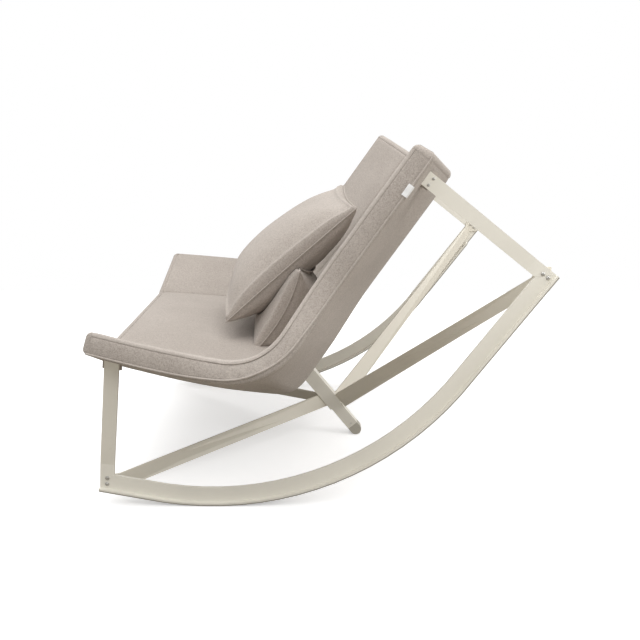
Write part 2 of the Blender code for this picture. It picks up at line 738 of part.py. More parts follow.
def drill(name, start, axis, length, radius):
    """Round cutter for a bolt or screw hole."""
    bm = bmesh.new()
    turned(bm, start, axis, [(-0.002, radius), (length, radius)], 10)
    return finish_mesh(name, bm, None)


def tab_plane(side):
    """Outer and inner face of a brace tab, beside the side frame."""
    outer = FRAME_HALF - BAR_T / 2 - GAP
    return side * outer, side * (outer - BRACE_T)


def corner_bolts(name, side, corner):
    """Two bolts through the mitred corner and the tab behind it."""
    holes = []
    outer_y = side * (FRAME_HALF + BAR_T / 2)
    stack = BAR_T + GAP + BRACE_T
    for k, sign in enumerate((-1, 1)):
        place = corner.centre + corner.bar_dir * (sign * BOLT_HALF_PITCH)
        start = space(place, outer_y)
        axis = (0.0, -side, 0.0)
        bolt(f"{name}_{k + 1}", start, axis, stack, BOLT_R, HEAD_R, HEAD_H, HEAD_R, 0.0032)
        holes.append(drill(f"hole_{name}_{k}", start, axis, stack + 0.002, BOLT_R + GAP))
    return holes


def bar_screws(name, bar, from_outside):
    """Two screws side by side through the bar and the bracket's lower flange."""
    place = bar.centre_at(SCREW_DOWN)
    holes = []
    stack = BAR_T + GAP + BRACKET_T
    depth = stack if from_outside else stack - 0.002
    for k, sign in enumerate((-1, 1)):
        point = place + bar.wide * (sign * 0.009)
        if from_outside:
            start, axis = point + bar.out * (BAR_T / 2), -bar.out
        else:
            start, axis = point + bar.out * (BAR_T / 2 - stack), bar.out
        bolt(f"{name}_{k + 1}", start, axis, depth, SCREW_R, SCREW_HEAD_R, SCREW_HEAD_H)
        past = 0.002 if from_outside else GAP
        holes.append(drill(f"hole_{name}_{k}", start, axis, depth + past, SCREW_R + GAP))
    return holes


def core_screws(name, bar):
    """Two screws through the bracket's upper flange into the core."""
    holes, heads = [], []
    y_mid = HEAD_HALF - BAR_T / 2 - BRACKET_T - BRACKET_IN * 0.6
    u = bar.u + bar.side * (y_mid - HEAD_HALF) / math.cos(WING_TILT)
    for k, sign in enumerate((-1, 1)):
        s = bar.s + sign * BRACKET_L * 0.3
        normal = shell_normal(s, u, CORE_LOW)
        start = on_shell(s, u, CORE_LOW) - normal * (BRACKET_T + GAP)
        depth = BRACKET_T + CORE_T * 0.75
        bolt(f"{name}_{k + 1}", start, normal, depth, SCREW_R, SCREW_HEAD_R, SCREW_HEAD_H)
        holes.append(drill(f"hole_{name}_{k}", start, normal, depth + GAP, SCREW_R + GAP))
        heads.append(drill(f"head_{name}_{k}", start - normal * (SCREW_HEAD_H + GAP), normal,
                           SCREW_HEAD_H + 2 * GAP, SCREW_HEAD_R + 2 * GAP))
    return holes, heads


def bar_slot(name, bar):
    """Cutter that lets a bar's end pass through the outer padding."""
    room = 0.0015
    inner_point, inner_normal = bar.core_plane(-CORE_T * 0.4)
    outer_point, _ = bar.core_plane(SHELL_T - CORE_LOW + 0.02)
    centre = bar.centre_at(0.0)
    rings = [[], []]
    for sw, sy in ((-1, -1), (1, -1), (1, 1), (-1, 1)):
        start = centre + bar.wide * (sw * (BAR_W / 2 + room)) + bar.out * (sy * (BAR_T / 2 + room))
        rings[0].append(meet_plane(start, bar.along, outer_point, inner_normal))
        rings[1].append(meet_plane(start, bar.along, inner_point, inner_normal))
    return loft(name, rings, None)


# ---------------------------------------------------------------- stop sleeve and bar
STOP_DOWN = direction(-STOP_SLOPE)
STOP_FRONT = Vector((-math.sin(STOP_SLOPE), -math.cos(STOP_SLOPE)))
BAR_HALF = SLEEVE_W / 2 - SLEEVE_WALL - GAP
BAR_START = BAR_HALF * 0.9
FOOT_AT = Vector((STOP_X, BAR_HALF))
MOUTH = FOOT_AT - STOP_DOWN * STOP_REACH


def stop_frame(distance, front, y):
    """Point at a distance up the sleeve from the foot's middle, and towards its front face."""
    p = FOOT_AT - STOP_DOWN * distance + STOP_FRONT * front
    return space(p, y)


def square_ring(distance, half):
    return [stop_frame(distance, a * half, b * half) for a, b in ((-1, -1), (1, -1), (1, 1), (-1, 1))]


def tube(name, low, high, half, wall, look):
    """Square tube, open at both ends."""
    bm = bmesh.new()
    outer = [[bm.verts.new(p) for p in square_ring(d, half)] for d in (low, high)]
    inner = [[bm.verts.new(p) for p in square_ring(d, half - wall)] for d in (low, high)]
    for i in range(4):
        j = (i + 1) % 4
        bm.faces.new((outer[0][i], outer[0][j], outer[1][j], outer[1][i]))
        bm.faces.new((inner[0][j], inner[0][i], inner[1][i], inner[1][j]))
        bm.faces.new((outer[0][j], outer[0][i], inner[0][i], inner[0][j]))
        bm.faces.new((outer[1][i], outer[1][j], inner[1][j], inner[1][i]))
    return finish_mesh(name, bm, look)


def build_stop():
    """Sleeve under the shell's bend, saddle plate, sliding bar and its rounded foot."""
    to_centre = CENTRE_AT - FOOT_AT
    up = -STOP_DOWN
    reach = to_centre.dot(up)
    aside = (to_centre - up * reach).length
    saddle_r = CENTRE_BEND + SHELL_T + GAP + SADDLE_T
    top = reach - math.sqrt(saddle_r ** 2 - aside ** 2)
    sleeve = tube("stop_sleeve", STOP_REACH, top + SLEEVE_W, SLEEVE_W / 2, SLEEVE_WALL, STEEL)
    bm = bmesh.new()
    turned(bm, (CENTRE_AT.x, -SADDLE_HALF, CENTRE_AT.y), (0, 1, 0),
           [(0.0, saddle_r + GAP), (2 * SADDLE_HALF, saddle_r + GAP)], 120)
    cut(sleeve, [finish_mesh("cut_sleeve_top", bm, None)])

    hit = FOOT_AT + up * top - BEND_CENTRE
    middle_s = RIM_BEND * (math.atan2(hit.x, -hit.y) + SEAT_SLOPE)
    half_s = SADDLE_REACH

    def saddle_outline(s):
        low = SHELL_T + GAP
        return [(-SADDLE_HALF, low), (SADDLE_HALF, low),
                (SADDLE_HALF, low + SADDLE_T), (-SADDLE_HALF, low + SADDLE_T)]

    saddle_stations = spread(middle_s - half_s, middle_s + half_s, 13)
    saddle = shell_solid("sleeve_saddle", saddle_stations, saddle_outline, STEEL)

    holes = []
    depth = SADDLE_T + GAP + SHELL_T - CORE_LOW + CORE_T * 0.75
    for k, (ds, du) in enumerate(((-1, -1), (1, -1), (1, 1), (-1, 1))):
        s, u = middle_s + ds * half_s * 0.68, du * SADDLE_HALF * 0.72
        normal = shell_normal(s, u, SHELL_T)
        start = on_shell(s, u, SHELL_T + GAP + SADDLE_T)
        bolt(f"saddle_bolt_{k + 1}", start, normal, depth, BOLT_R, HEAD_R, HEAD_H)
        holes.append(drill(f"hole_saddle_{k}", start, normal, depth + GAP, BOLT_R + GAP))

    bar = tube("stop_bar", BAR_START, STOP_REACH + STOP_INSIDE, BAR_HALF, STOP_WALL, STEEL)
    build_stop_trim(sleeve, bar, build_foot())
    return saddle, holes


def build_foot():
    """Rounded shoe at the lower end of the stop bar, with a plug inside the tube.

    One flat of its round end lies level, so the shoe stands on the floor on a flat.
    """
    down = direction(-STOP_SLOPE)
    front = STOP_FRONT
    step = math.radians(10)
    level = math.pi / 2 - STOP_SLOPE
    angles = [level + step * k for k in range(-11, 5, 2)]
    outline = [FOOT_AT - front * BAR_HALF]
    for a in angles:
        outline.append(FOOT_AT + (down * math.cos(a) + front * math.sin(a)) * (BAR_HALF / math.cos(step)))
    outline.append(FOOT_AT + front * BAR_HALF)
    plug = BAR_HALF - STOP_WALL - GAP
    seat = BAR_START - GAP
    far = BAR_START + PLUG_L
    shoulder = [FOOT_AT - down * seat + front * aside
                for aside in (BAR_HALF, plug, plug, -plug, -plug, -BAR_HALF)]
    raised = list(shoulder)
    raised[2] = FOOT_AT - down * far + front * plug
    raised[3] = FOOT_AT - down * far - front * plug
    rings = []
    for y, top in ((-BAR_HALF, shoulder), (-plug, shoulder), (-plug, raised),
                   (plug, raised), (plug, shoulder), (BAR_HALF, shoulder)):
        rings.append([space(p, y) for p in outline + top])
    return loft("stop_foot", rings, RUBBER, math.radians(25))


def build_stop_trim(sleeve, bar, foot):
    """Pin that holds the shoe in the bar, and the clamping knob on the sleeve's right face."""
    start = stop_frame(BAR_START + PLUG_L / 2, 0.0, -BAR_HALF + GAP)
    length = BAR_HALF
    bm = bmesh.new()
    turned(bm, start, (0, 1, 0), [(0.0, PIN_R), (length, PIN_R)], 10)
    finish_mesh("foot_pin", bm, ZINC, math.radians(40))
    hole = drill("hole_pin", start, (0, 1, 0), length + GAP, PIN_R + GAP)
    cut(bar, [hole])
    cut(foot, [hole])

    face = SLEEVE_W / 2
    start = stop_frame(STOP_REACH + KNOB_UP, 0.0, face + KNOB_L)
    shank = KNOB_L + SLEEVE_WALL
    profile = [(0.0, KNOB_R * 0.8), (0.002, KNOB_R), (KNOB_L * 0.55, KNOB_R), (KNOB_L * 0.65, KNOB_R * 0.55),
               (KNOB_L - GAP, KNOB_R * 0.55), (KNOB_L - GAP, BOLT_R), (shank, BOLT_R)]
    bm = bmesh.new()
    turned(bm, start, (0, -1, 0), profile, 14)
    finish_mesh("clamp_knob", bm, RUBBER, math.radians(40))
    place = stop_frame(STOP_REACH + KNOB_UP, 0.0, face)
    cut(sleeve, [drill("hole_knob", place, (0, -1, 0), SLEEVE_WALL + 0.001, BOLT_R + GAP)])


# ---------------------------------------------------------------- braces
def build_brace(name, side, corner, depth, drop, to_front):
    """Flat strip on edge, from a tab beside the corner to the sleeve."""
    y_face, y_back = tab_plane(side)
    y_mid = (y_face + y_back) / 2
    sign = -1.0 if to_front else 1.0
    centre = corner.centre
    tab_end = centre.x + sign * (TAB_L / 2 - 0.003)
    fold = centre.x - sign * TAB_L / 2
    plan_start = Vector((fold, y_mid))
    face_x = FOOT_AT.x - (BRACE_Z - FOOT_AT.y) / math.tan(STOP_SLOPE)
    face_x += sign * (SLEEVE_W / 2) / math.sin(STOP_SLOPE)
    plan_end = Vector((face_x, side * BRACE_SPREAD))
    run = (plan_end - plan_start).normalized()
    length = (plan_end - plan_start).length
    z_start = centre.y - drop - (0.0 if to_front else TAB_L * REAR_FALL)
    rise = (BRACE_Z - z_start) / length

    def edge(distance):
        share = distance / length
        mid = z_start + rise * distance
        half = (depth[0] + (depth[1] - depth[0]) * share) / 2
        return mid - half, mid + half

    tab_half = BOLT_HALF_PITCH + HEAD_R + 0.007
    bolts_low = centre.y - tab_half
    bolts_high = centre.y + tab_half
    low0, high0 = edge(0.0)
    low1, high1 = edge(0.014)
    tab_low, tab_high = max(bolts_low, low0), max(bolts_high, high0)

    def side_of(direction2, amount):
        return Vector((-direction2.y, direction2.x)) * amount

    tab_dir = Vector((-sign, 0.0))
    half_t = BRACE_T / 2
    mitre = (side_of(tab_dir, 1.0) + side_of(run, 1.0)).normalized()
    stretch = half_t / mitre.dot(side_of(run, 1.0))
    rows = []
    rows.append((Vector((tab_end, y_mid)), side_of(tab_dir, half_t), tab_low, tab_high))
    rows.append((plan_start + Vector((sign * 0.006, 0.0)), side_of(tab_dir, half_t), tab_low, tab_high))
    rows.append((plan_start, mitre * stretch, low0, max(high0, tab_high - 0.006)))
    rows.append((plan_start + run * 0.014, side_of(run, half_t), low1, high1))
    rings = []
    for place, off, low, high in rows:
        a, b = place + off, place - off
        rings.append([Vector((a.x, a.y, low)), Vector((b.x, b.y, low)),
                      Vector((b.x, b.y, high)), Vector((a.x, a.y, high))])
    normal = STOP_FRONT * (1.0 if to_front else -1.0)
    plane_point = space(FOOT_AT + normal * (SLEEVE_W / 2 + GAP), 0.0)
    plane_normal = space(normal, 0.0)
    far_low, far_high = edge(length)
    last = []
    for p, far_z in zip(rings[-1], (far_low, far_low, far_high, far_high)):
        far_y = p.y + run.y / run.x * (face_x - p.x)
        start = Vector((face_x, far_y, far_z))
        last.append(meet_plane(start, Vector((1.0, 0.0, 0.0)), plane_point, plane_normal))
    rings.append(last)
    return loft(name, rings, DARK_STEEL)


# ---------------------------------------------------------------- pillows
def shell_place(point):
    """Length s, sideways u and depth t of a point over the sitter's side of the shell."""
    p = Vector((point.x, point.z))
    from_start = p - BEND_START
    from_end = p - BEND_END
    if from_start.dot(SEAT_DIR) <= 0.0:
        s = from_start.dot(SEAT_DIR)
    elif from_end.dot(BACK_DIR) >= 0.0:
        s = ARC_LEN + from_end.dot(BACK_DIR)
    else:
        r = p - BEND_CENTRE
        s = RIM_BEND * (math.atan2(r.x, -r.y) + SEAT_SLOPE)
    base, _, up = rim_line(s)
    w = (p - base).dot(up)
    y = abs(point.y)
    rise, tilt, flat, stretch = section(s)
    if y <= flat:
        t = 0.0
        for _ in range(6):
            t = -w - WING_RISE - deeper(s, t)
        return s, point.y * FLAT_HALF / flat, t
    r = Vector((y - flat, w - FOLD_R + rise))
    angle = math.atan2(r.x, -r.y)
    if 0.0 <= angle < tilt:
        u = FLAT_HALF + angle / tilt * (FOLD_END_U - FLAT_HALF)
        return s, math.copysign(u, point.y), r.length - FOLD_R
    out = direction(tilt)
    from_edge = r - Vector((math.sin(tilt), -math.cos(tilt))) * FOLD_R
    t = from_edge.x * out.y - from_edge.y * out.x
    u = FOLD_END_U + max(from_edge.dot(out), 0.0) / stretch
    return s, math.copysign(u, point.y), t


def settle_on_shell(point, sagging):
    """Lift a point off the padding, or let it settle where it hangs just over it."""
    s, u, t = shell_place(point)
    surface = -swell(s, u, FOLD_U) if abs(u) < FOLD_U else 0.0
    height = surface - t
    wanted = max(height, PILLOW_CLEAR)
    if sagging and height < 2 * PILLOW_SAG:
        share = min(max(height / PILLOW_SAG - 1.0, 0.0), 1.0)
        share = share * share * (3.0 - 2.0 * share)
        wanted = PILLOW_CLEAR + (height - PILLOW_CLEAR) * share
    return point + shell_normal(s, u) * (wanted - height)


class Pillow:
    """Knife-edge pillow: crowned faces, sides drawn in between its corners."""

    def __init__(self, at, tilt, roll, sizes):
        self.at = Vector(at)
        self.half_l, self.half_w, self.top, self.low = sizes
        self.along = Vector((math.cos(tilt), 0.0, math.sin(tilt)))
        up = Vector((-math.sin(tilt), 0.0, math.cos(tilt)))
        self.side = Vector((0.0, math.cos(roll), 0.0)) + up * math.sin(roll)
        self.up = self.along.cross(self.side)

    def point(self, p, q, depth):
        wide_l = self.half_l * (1.0 - PILLOW_PULL * (1.0 - q * q))
        wide_w = self.half_w * (1.0 - PILLOW_PULL * (1.0 - p * p))
        rise = depth * max((1.0 - p * p) * (1.0 - q * q), 0.0) ** 0.42
        return self.at + self.along * (p * wide_l) + self.side * (q * wide_w) + self.up * rise

    def holds(self, point, extra):
        """Whether a point lies inside this pillow, with extra room round it."""
        r = point - self.at
        p = r.dot(self.along) / (self.half_l + extra)
        q = r.dot(self.side) / (self.half_w + extra)
        if abs(p) >= 1.0 or abs(q) >= 1.0:
            return False
        body = ((1.0 - p * p) * (1.0 - q * q)) ** 0.42
        return -self.low * body - extra < r.dot(self.up) < self.top * body + extra

    def build(self, name, under=None):
        count = 16
        bm = bmesh.new()
        for depth in (self.top, -self.low):
            grid = []
            for i in range(count + 1):
                p = math.sin(math.pi / 2 * (2.0 * i / count - 1.0))
                row = []
                for j in range(count + 1):
                    q = math.sin(math.pi / 2 * (2.0 * j / count - 1.0))
                    place = self.point(p, q, depth)
                    while under is not None and under.holds(place, PILLOW_PART):
                        place = place + self.up * 0.001
                    seam = i in (0, count) or j in (0, count)
                    row.append(bm.verts.new(settle_on_shell(place, depth < 0.0 and not seam)))
                grid.append(row)
            for i in range(count):
                for j in range(count):
                    bm.faces.new((grid[i][j], grid[i + 1][j], grid[i + 1][j + 1], grid[i][j + 1]))
        return finish_mesh(name, bm, FABRIC, math.radians(60))


LABEL_U = RIM_U - EDGE_R - 0.014
LABEL_DOWN = 0.118          # tab's middle to the top edge


def build_label():
    """Small blank folded tab sewn into the left rim's lower seam, near the top."""
    s_mid = S_TOP - LABEL_DOWN
    rings = []
    for ds in (-0.013, 0.013):
        ring = []
        for u, t in ((LABEL_U, SHELL_T + GAP), (LABEL_U, SHELL_T + GAP + 0.0012),
                     (LABEL_U + 0.016, SHELL_T + 0.0085), (LABEL_U + 0.017, SHELL_T + 0.0075),
                     (LABEL_U + 0.006, SHELL_T + GAP)):
            ring.append(on_shell(s_mid + ds, -u, t))
        rings.append(ring)
    return loft("label_tab", rings, LABEL)


# ---------------------------------------------------------------- assembly
def group_pieces():
    """Hang the pieces on empties: shell, pillows, one for each side frame, sleeve and stop.

    The stop's empty lies on the line that it slides along, with its own z up that line.
    """
    groups = {"left_frame": [], "right_frame": [], "sleeve_group": [], "pillow_group": [],
              "shell_group": [], "stop_axis": []}
    for obj in list(bpy.data.objects):
        name = obj.name
        if obj.type != "MESH" or obj.hide_render:
            continue
        if name in ("stop_bar", "stop_foot", "foot_pin"):
            groups["stop_axis"].append(obj)
        elif name.startswith("saddle") or name in ("stop_sleeve", "sleeve_saddle", "clamp_knob"):
            groups["sleeve_group"].append(obj)
        elif name.endswith("pillow"):
            groups["pillow_group"].append(obj)
        elif name.endswith("pad") or name.endswith("band") or name in ("shell_core", "label_tab"):
            groups["shell_group"].append(obj)
        else:
            groups[name.split("_")[0] + "_frame"].append(obj)
    slide = Vector((STOP_DOWN.x, 0.0, STOP_DOWN.y)).to_track_quat("-Z", "Y")
    places = {"left_frame": Vector((ROCKER_X, -FRAME_HALF, 0.0)),
              "right_frame": Vector((ROCKER_X, FRAME_HALF, 0.0)),
              "sleeve_group": space(MOUTH, 0.0), "pillow_group": space(BEND_CENTRE, 0.0),
              "shell_group": space(BEND_CENTRE, 0.0), "stop_axis": space(FOOT_AT, 0.0)}
    for name, pieces in groups.items():
        carry(name, places[name], pieces, slide if name == "stop_axis" else None)


def main():
    clear_scene()
    core, inner, outer, wings = build_shell()
    saddle, saddle_holes = build_stop()
    cut(saddle, saddle_holes)
    cut(outer, saddle_holes)
    cut(core, saddle_holes)

    for side, word in ((-1, "left"), (1, "right")):
        rocker = build_rocker(f"{word}_rocker", side)
        build_tread(f"{word}_tread", side)
        leg_bar = Bar(FRONT, LEG_RISE, False, side)
        link_bar = Bar(REAR, LINK_RISE, True, side)
        leg = build_bar(f"{word}_front_leg", leg_bar)
        link = build_bar(f"{word}_back_link", link_bar)
        front_brace = build_brace(f"{word}_front_brace", side, FRONT, FRONT_DEPTH, FRONT_DROP, True)
        rear_brace = build_brace(f"{word}_rear_brace", side, REAR, REAR_DEPTH, REAR_DROP, False)
        for corner, piece, brace, place in ((FRONT, leg, front_brace, "front"),
                                            (REAR, link, rear_brace, "rear")):
            holes = corner_bolts(f"{word}_{place}_bolt", side, corner)
            cut(rocker, holes[:1])
            cut(piece, holes[1:])
            cut(brace, holes)
        for bar, piece, place in ((leg_bar, leg, "leg"), (link_bar, link, "link")):
            bracket = build_bracket(f"{word}_{place}_bracket", bar, BRACKET_L / 2, DARK_STEEL)
            room = build_bracket(f"room_{word}_{place}", bar, BRACKET_L / 2 + 0.001, None, 0.0006)
            cut(wings[side], [room, bar_slot(f"slot_{word}_{place}", bar)])
            holes = bar_screws(f"{word}_{place}_screw", bar, place == "link")
            cut(piece, holes)
            cut(bracket, holes)
            holes, heads = core_screws(f"{word}_{place}_core_screw", bar)
            cut(bracket, holes)
            cut(core, holes)
            cut(wings[side], heads)

    small = Pillow(SMALL_AT, SMALL_TILT, SMALL_ROLL, SMALL_PILLOW)
    large = Pillow(LARGE_AT, LARGE_TILT, LARGE_ROLL, LARGE_PILLOW)
    small.build("small_pillow")
    large.build("large_pillow", small)
    build_label()
    group_pieces()


main()
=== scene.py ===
"""Dressed scene of the rocking lounge chair: fabric, seams, pillows, paint and camera."""

import math

import bmesh
import bpy
import numpy as np
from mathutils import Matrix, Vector, noise
from mathutils.bvhtree import BVHTree


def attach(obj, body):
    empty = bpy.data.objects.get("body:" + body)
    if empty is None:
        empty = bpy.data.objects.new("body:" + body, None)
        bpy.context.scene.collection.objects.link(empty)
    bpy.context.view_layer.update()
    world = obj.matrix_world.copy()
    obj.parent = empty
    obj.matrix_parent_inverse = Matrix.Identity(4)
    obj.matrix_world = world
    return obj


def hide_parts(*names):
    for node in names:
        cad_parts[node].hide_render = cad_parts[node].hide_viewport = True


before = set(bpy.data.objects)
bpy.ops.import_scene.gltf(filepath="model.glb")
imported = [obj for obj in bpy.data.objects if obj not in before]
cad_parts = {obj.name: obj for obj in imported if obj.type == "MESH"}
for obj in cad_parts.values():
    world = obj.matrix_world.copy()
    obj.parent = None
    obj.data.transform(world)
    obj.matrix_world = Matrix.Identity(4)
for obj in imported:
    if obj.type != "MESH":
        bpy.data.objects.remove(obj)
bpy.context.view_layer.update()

# Sizes of the solids, as in the part's source
GAP = 0.0003
RIM_X, RIM_Z = -0.135, 0.414
SEAT_SLOPE, BACK_SLOPE = math.radians(7.8), math.radians(54.4)
RIM_BEND, CENTRE_BEND = 0.142, 0.034
SEAT_LEN, BACK_LEN = 0.403, 0.589
RIM_HALF, CENTRE_HALF, WING_RISE = 0.619, 0.351, 0.095
FLARE, FLARE_PEAK, FLARE_END = 0.091, 0.057, 0.330
FOLD_R, SHELL_T, INNER_T, CORE_T = 0.050, 0.055, 0.022, 0.012
EDGE_R, BAND_T, CORE_MARGIN, CROWN = 0.010, 0.014, 0.024, 0.007
LARGE_PILLOW = (0.2407, 0.235, 0.085, 0.085)  # half length, half width, swell above and below
SMALL_PILLOW = (0.130, 0.190, 0.055, 0.100)
LARGE_AT, LARGE_TILT, LARGE_ROLL = (-0.0948, 0.0543, 0.5617), math.radians(41.2), math.radians(4.5)
SMALL_AT, SMALL_TILT, SMALL_ROLL = (-0.120, -0.030, 0.4268), math.radians(60.5), 0.0
PILLOW_PULL = 0.05                          # how far the sides are drawn in between the corners
PILLOW_FULL = 0.42                          # power of the swell: the smaller, the plumper
LABEL_DOWN = 0.118                          # tab's middle to the top edge

# Seams: depth of the dip, and its half width on each side
SEAM_GROOVE = (0.0022, 0.0035)
EDGE_GROOVE = (0.0020, 0.0022)              # on both sides of the rim's rounded edge
END_GROOVE = (0.0016, 0.0025)               # end bands, where they meet the panels
UNDER_GROOVE = (0.0042, 0.0030)             # behind the piping
UNDER_GROOVE_IN = 0.0095                    # that dip's distance from the rim
SEAM_T = SHELL_T - 0.0035                   # depth of the rim band's lower seam
SEAM_RISE, SEAM_RISE_REACH = 0.0095, 0.11   # how far that seam climbs at the bend
SEAM_RISE_AT = 0.6                          # share of the bend's arc where it is highest
PIPE_R = 0.0024                             # piping in that seam
PIPE_IN, PIPE_LOW = 0.0006, 0.0004          # in from the rim's plane, and under the seam
PIPE_BEND_OUT = 0.0064                      # how far it stands out at the bend
PIPE_END = 0.006                            # piping's ends to the shell's ends
PILLOW_PIPE_R = 0.0019                      # welt round a pillow

# Cloth of the shell
STATION_STEP = 0.012                        # between outlines on the straight stretches
BEND_MARGIN = 0.003                         # free of those outlines on both sides of the bend
BEND_STATIONS = 20                          # on each side of the bend's middle
END_STEPS = (0.0015, 0.004, 0.008)          # outlines beside the seams with the end bands
SEAM_STEPS = (0.0018, 0.004, 0.0075)        # points beside a panel's side seams
SEAM_FADE, RIM_FADE = 0.03, 0.02            # unevenness grows to full over this distance
BEND_REACH = 0.12                           # cloth is strained this far from the bend's middle
CROWN_REACH = 0.09                          # middle panel swells to full over this distance
BACK_CROWN, BACK_SHARE = 0.003, 0.6         # outer back's swell, and the share of all that shows
BACK_IN = 0.0006                            # outer back cover, in from the solid's face
WING_SWELL = 0.0035                         # of a wing's face
WING_BACK_SHARE, WING_BACK_IN = 0.3, 0.0010  # its underside: share that shows, and how far in
BAND_SWELL, BAND_PUCKER = 0.0022, 0.0017    # rim band's swell, and its creases at the bend
BAND_TILT, BAND_TILT_AT = 0.0085, 0.25      # how far it tilts there, about that share of its depth
BAND_STEPS = (0.0014, 0.003, 0.006)         # points beside the rim band's upper seam
ROLL_IN, ROLL_R = 0.0070, 0.0035            # rolled lower side: in from the rim, and its radius
UNDER_STEPS = (0.0085, 0.0105, 0.013, 0.017)  # points of the underside, in from the rim
SLACK_WIDE, SLACK_FINE = 0.0011, 0.0005     # unevenness, broad and fine
SLACK_FINE_SIZE = 0.03                      # size of the fine waves
CREASE, CREASE_REACH = 0.0016, 0.11         # folds across the panels at the bend
CREASE_WIDE, CREASE_LONG = 0.022, 0.16      # their size along the rim line and across it
MIDDLE_SEED, BACK_SEED, WING_SEED, WING_BACK_SEED, END_SEED = 1.3, 7.7, 4.0, 9.0, 5.0
END_R = 0.0138                              # rounding of the end bands as worn in
LEAN = 0.005                                # how far their faces lean out towards the lower side
END_SWELL, END_SLACK = 0.002, 0.0007        # swell at their ends, and unevenness along the top
ROOM = 0.0012                               # round the bars that reach the core
TAB_UP, TAB_HALF = 0.023, 0.0145            # tab above the solid's place, and half its width
TAB_THICK = (0.0011, 0.0009)                # between its layers, across and down

# Cloth of the pillows
PILLOW_CELLS = 60                           # grid on each side of a pillow
PILLOW_EASE = 0.35                          # how much closer the grid is at the seams
WELT_HOLD = 0.8                             # how far the welt follows the solid's edge
PILLOW_GAP = 0.0065                         # between the pillows' covers
TOP_FULL = 0.016                            # swell of the large pillow's face towards its lower end
LOW_FULL = 0.022                            # and of its lower side
LOW_LIMIT = 0.050                           # most that its lower side fills out
SHELL_CLEAR = 0.003                         # large pillow over the shell
PUCKER = 0.0034                             # creases that run out from the large pillow's near seam
UNDER_FOLD = 0.0075                         # crease under that seam
BOW = 0.019                                 # small pillow's near seam, back against the shell
PRESS_REACH = 0.16                          # how deep a pressed pillow is searched
CLOTH_FRAMES = 20
CLOTH_PRESSURE, CLOTH_GROW = 9.0, 0.004     # from inside, and how much the cloth is cut too large
CLOTH_LIMIT = 0.012                         # most that the simulation may move a point
CLOTH_LOW_SHARE = 0.5                       # share of it that the lower side keeps
BLUR_HALF, BLUR_TIMES = 4, 3                # averaging in cells that finds the broad movement

# Camera and studio
CAMERA_AT = (0.005, -2.596, 0.9378)
CAMERA_DOWN, CAMERA_TURN = math.radians(12.656), math.radians(0.157)
LENS, SENSOR = 50.0, 36.0
DIM_SIDE = 0.50                             # tone of the studio behind the camera
WORLD_STRENGTH = 1.02
WORLD_TURN = (-0.10, 0.72)                  # from the dim side to the bright side, along Y
LIGHTS = (
    # name, place, target, size, power
    ("top_light", (-0.3, 0.2, 3.2), (-0.1, 0.1, 0.3), (3.4, 3.0), 69.0),
    ("right_light", (2.1, -0.8, 1.5), (0.4, 0.2, 0.5), (1.2, 1.2), 24.0),
    ("front_light", (0.7, -2.5, 1.9), (0.2, 0.0, 0.6), (1.6, 1.2), 16.0),
    ("left_light", (-1.5, -2.2, 2.8), (0.0, 0.0, 0.6), (1.6, 1.6), 23.0),
)
FLOOR_CORNERS = ((-3.4, -4.5), (3.4, -4.5), (3.4, 2.3), (-3.4, 2.3))
FLOOR_Z = -0.0004
FLOOR_TONE = 0.86
FLOOR_GLOW = 0.42
FLOOR_BOUNCE = 0.34                         # what the floor gives back to the chair
FLOOR_WARMTH = (1.0, 0.90, 0.76)
WHITE = (1.0, 1.0, 1.0)

MERGE = 1e-6
MERGE_SOLID = 1e-5
SHARP = math.radians(50.0)
SAME_WAY = 0.98                             # faces count as one plane above this cosine


# Shape of the shell
def direction(angle):
    """Unit vector in the side plane."""
    return Vector((math.cos(angle), math.sin(angle)))


SEAT_DIR, SEAT_NORMAL = direction(-SEAT_SLOPE), direction(math.pi / 2 - SEAT_SLOPE)
BACK_DIR, BACK_NORMAL = direction(BACK_SLOPE), direction(math.pi / 2 + BACK_SLOPE)
TURN = SEAT_SLOPE + BACK_SLOPE
RIM_TANGENT = RIM_BEND * math.tan(TURN / 2)
RIM_MEET = Vector((RIM_X, RIM_Z))
BEND_START = RIM_MEET - SEAT_DIR * RIM_TANGENT
BEND_END = RIM_MEET + BACK_DIR * RIM_TANGENT
BEND_CENTRE = BEND_START + SEAT_NORMAL * RIM_BEND
ARC_LEN = RIM_BEND * TURN
S_FRONT = RIM_TANGENT - SEAT_LEN
S_TOP = ARC_LEN + BACK_LEN - RIM_TANGENT
WING_RUN = RIM_HALF - CENTRE_HALF
WING_TILT = math.atan2(WING_RISE, WING_RUN)
FLAT_HALF = CENTRE_HALF - FOLD_R * math.tan(WING_TILT / 2)
FOLD_U = FLAT_HALF + FOLD_R * WING_TILT / 2
FOLD_END_U = FLAT_HALF + FOLD_R * WING_TILT
RIM_U = FOLD_END_U + WING_RUN / math.cos(WING_TILT) - FOLD_R * math.tan(WING_TILT / 2)
CORE_TOP, CORE_LOW = INNER_T, INNER_T + CORE_T
CORE_U = RIM_U - CORE_MARGIN
BEND_STEP = (RIM_BEND + WING_RISE - CENTRE_BEND) / math.cos(TURN / 2)
PANEL_FRONT, PANEL_TOP = S_FRONT + BAND_T + GAP, S_TOP - BAND_T - GAP
MIDDLE_HALF = FOLD_U - GAP / 2              # middle panel's side seam
WING_IN, WING_OUT = FOLD_U + GAP / 2, RIM_U - EDGE_R


def rim_line(s):
    """Point of the rim line in the side plane, and the direction out of the shell's face."""
    if s <= 0.0:
        return BEND_START + SEAT_DIR * s, SEAT_NORMAL
    if s >= ARC_LEN:
        return BEND_END + BACK_DIR * (s - ARC_LEN), BACK_NORMAL
    normal = direction(math.pi / 2 - SEAT_SLOPE + s / RIM_BEND)
    return BEND_CENTRE - normal * RIM_BEND, normal


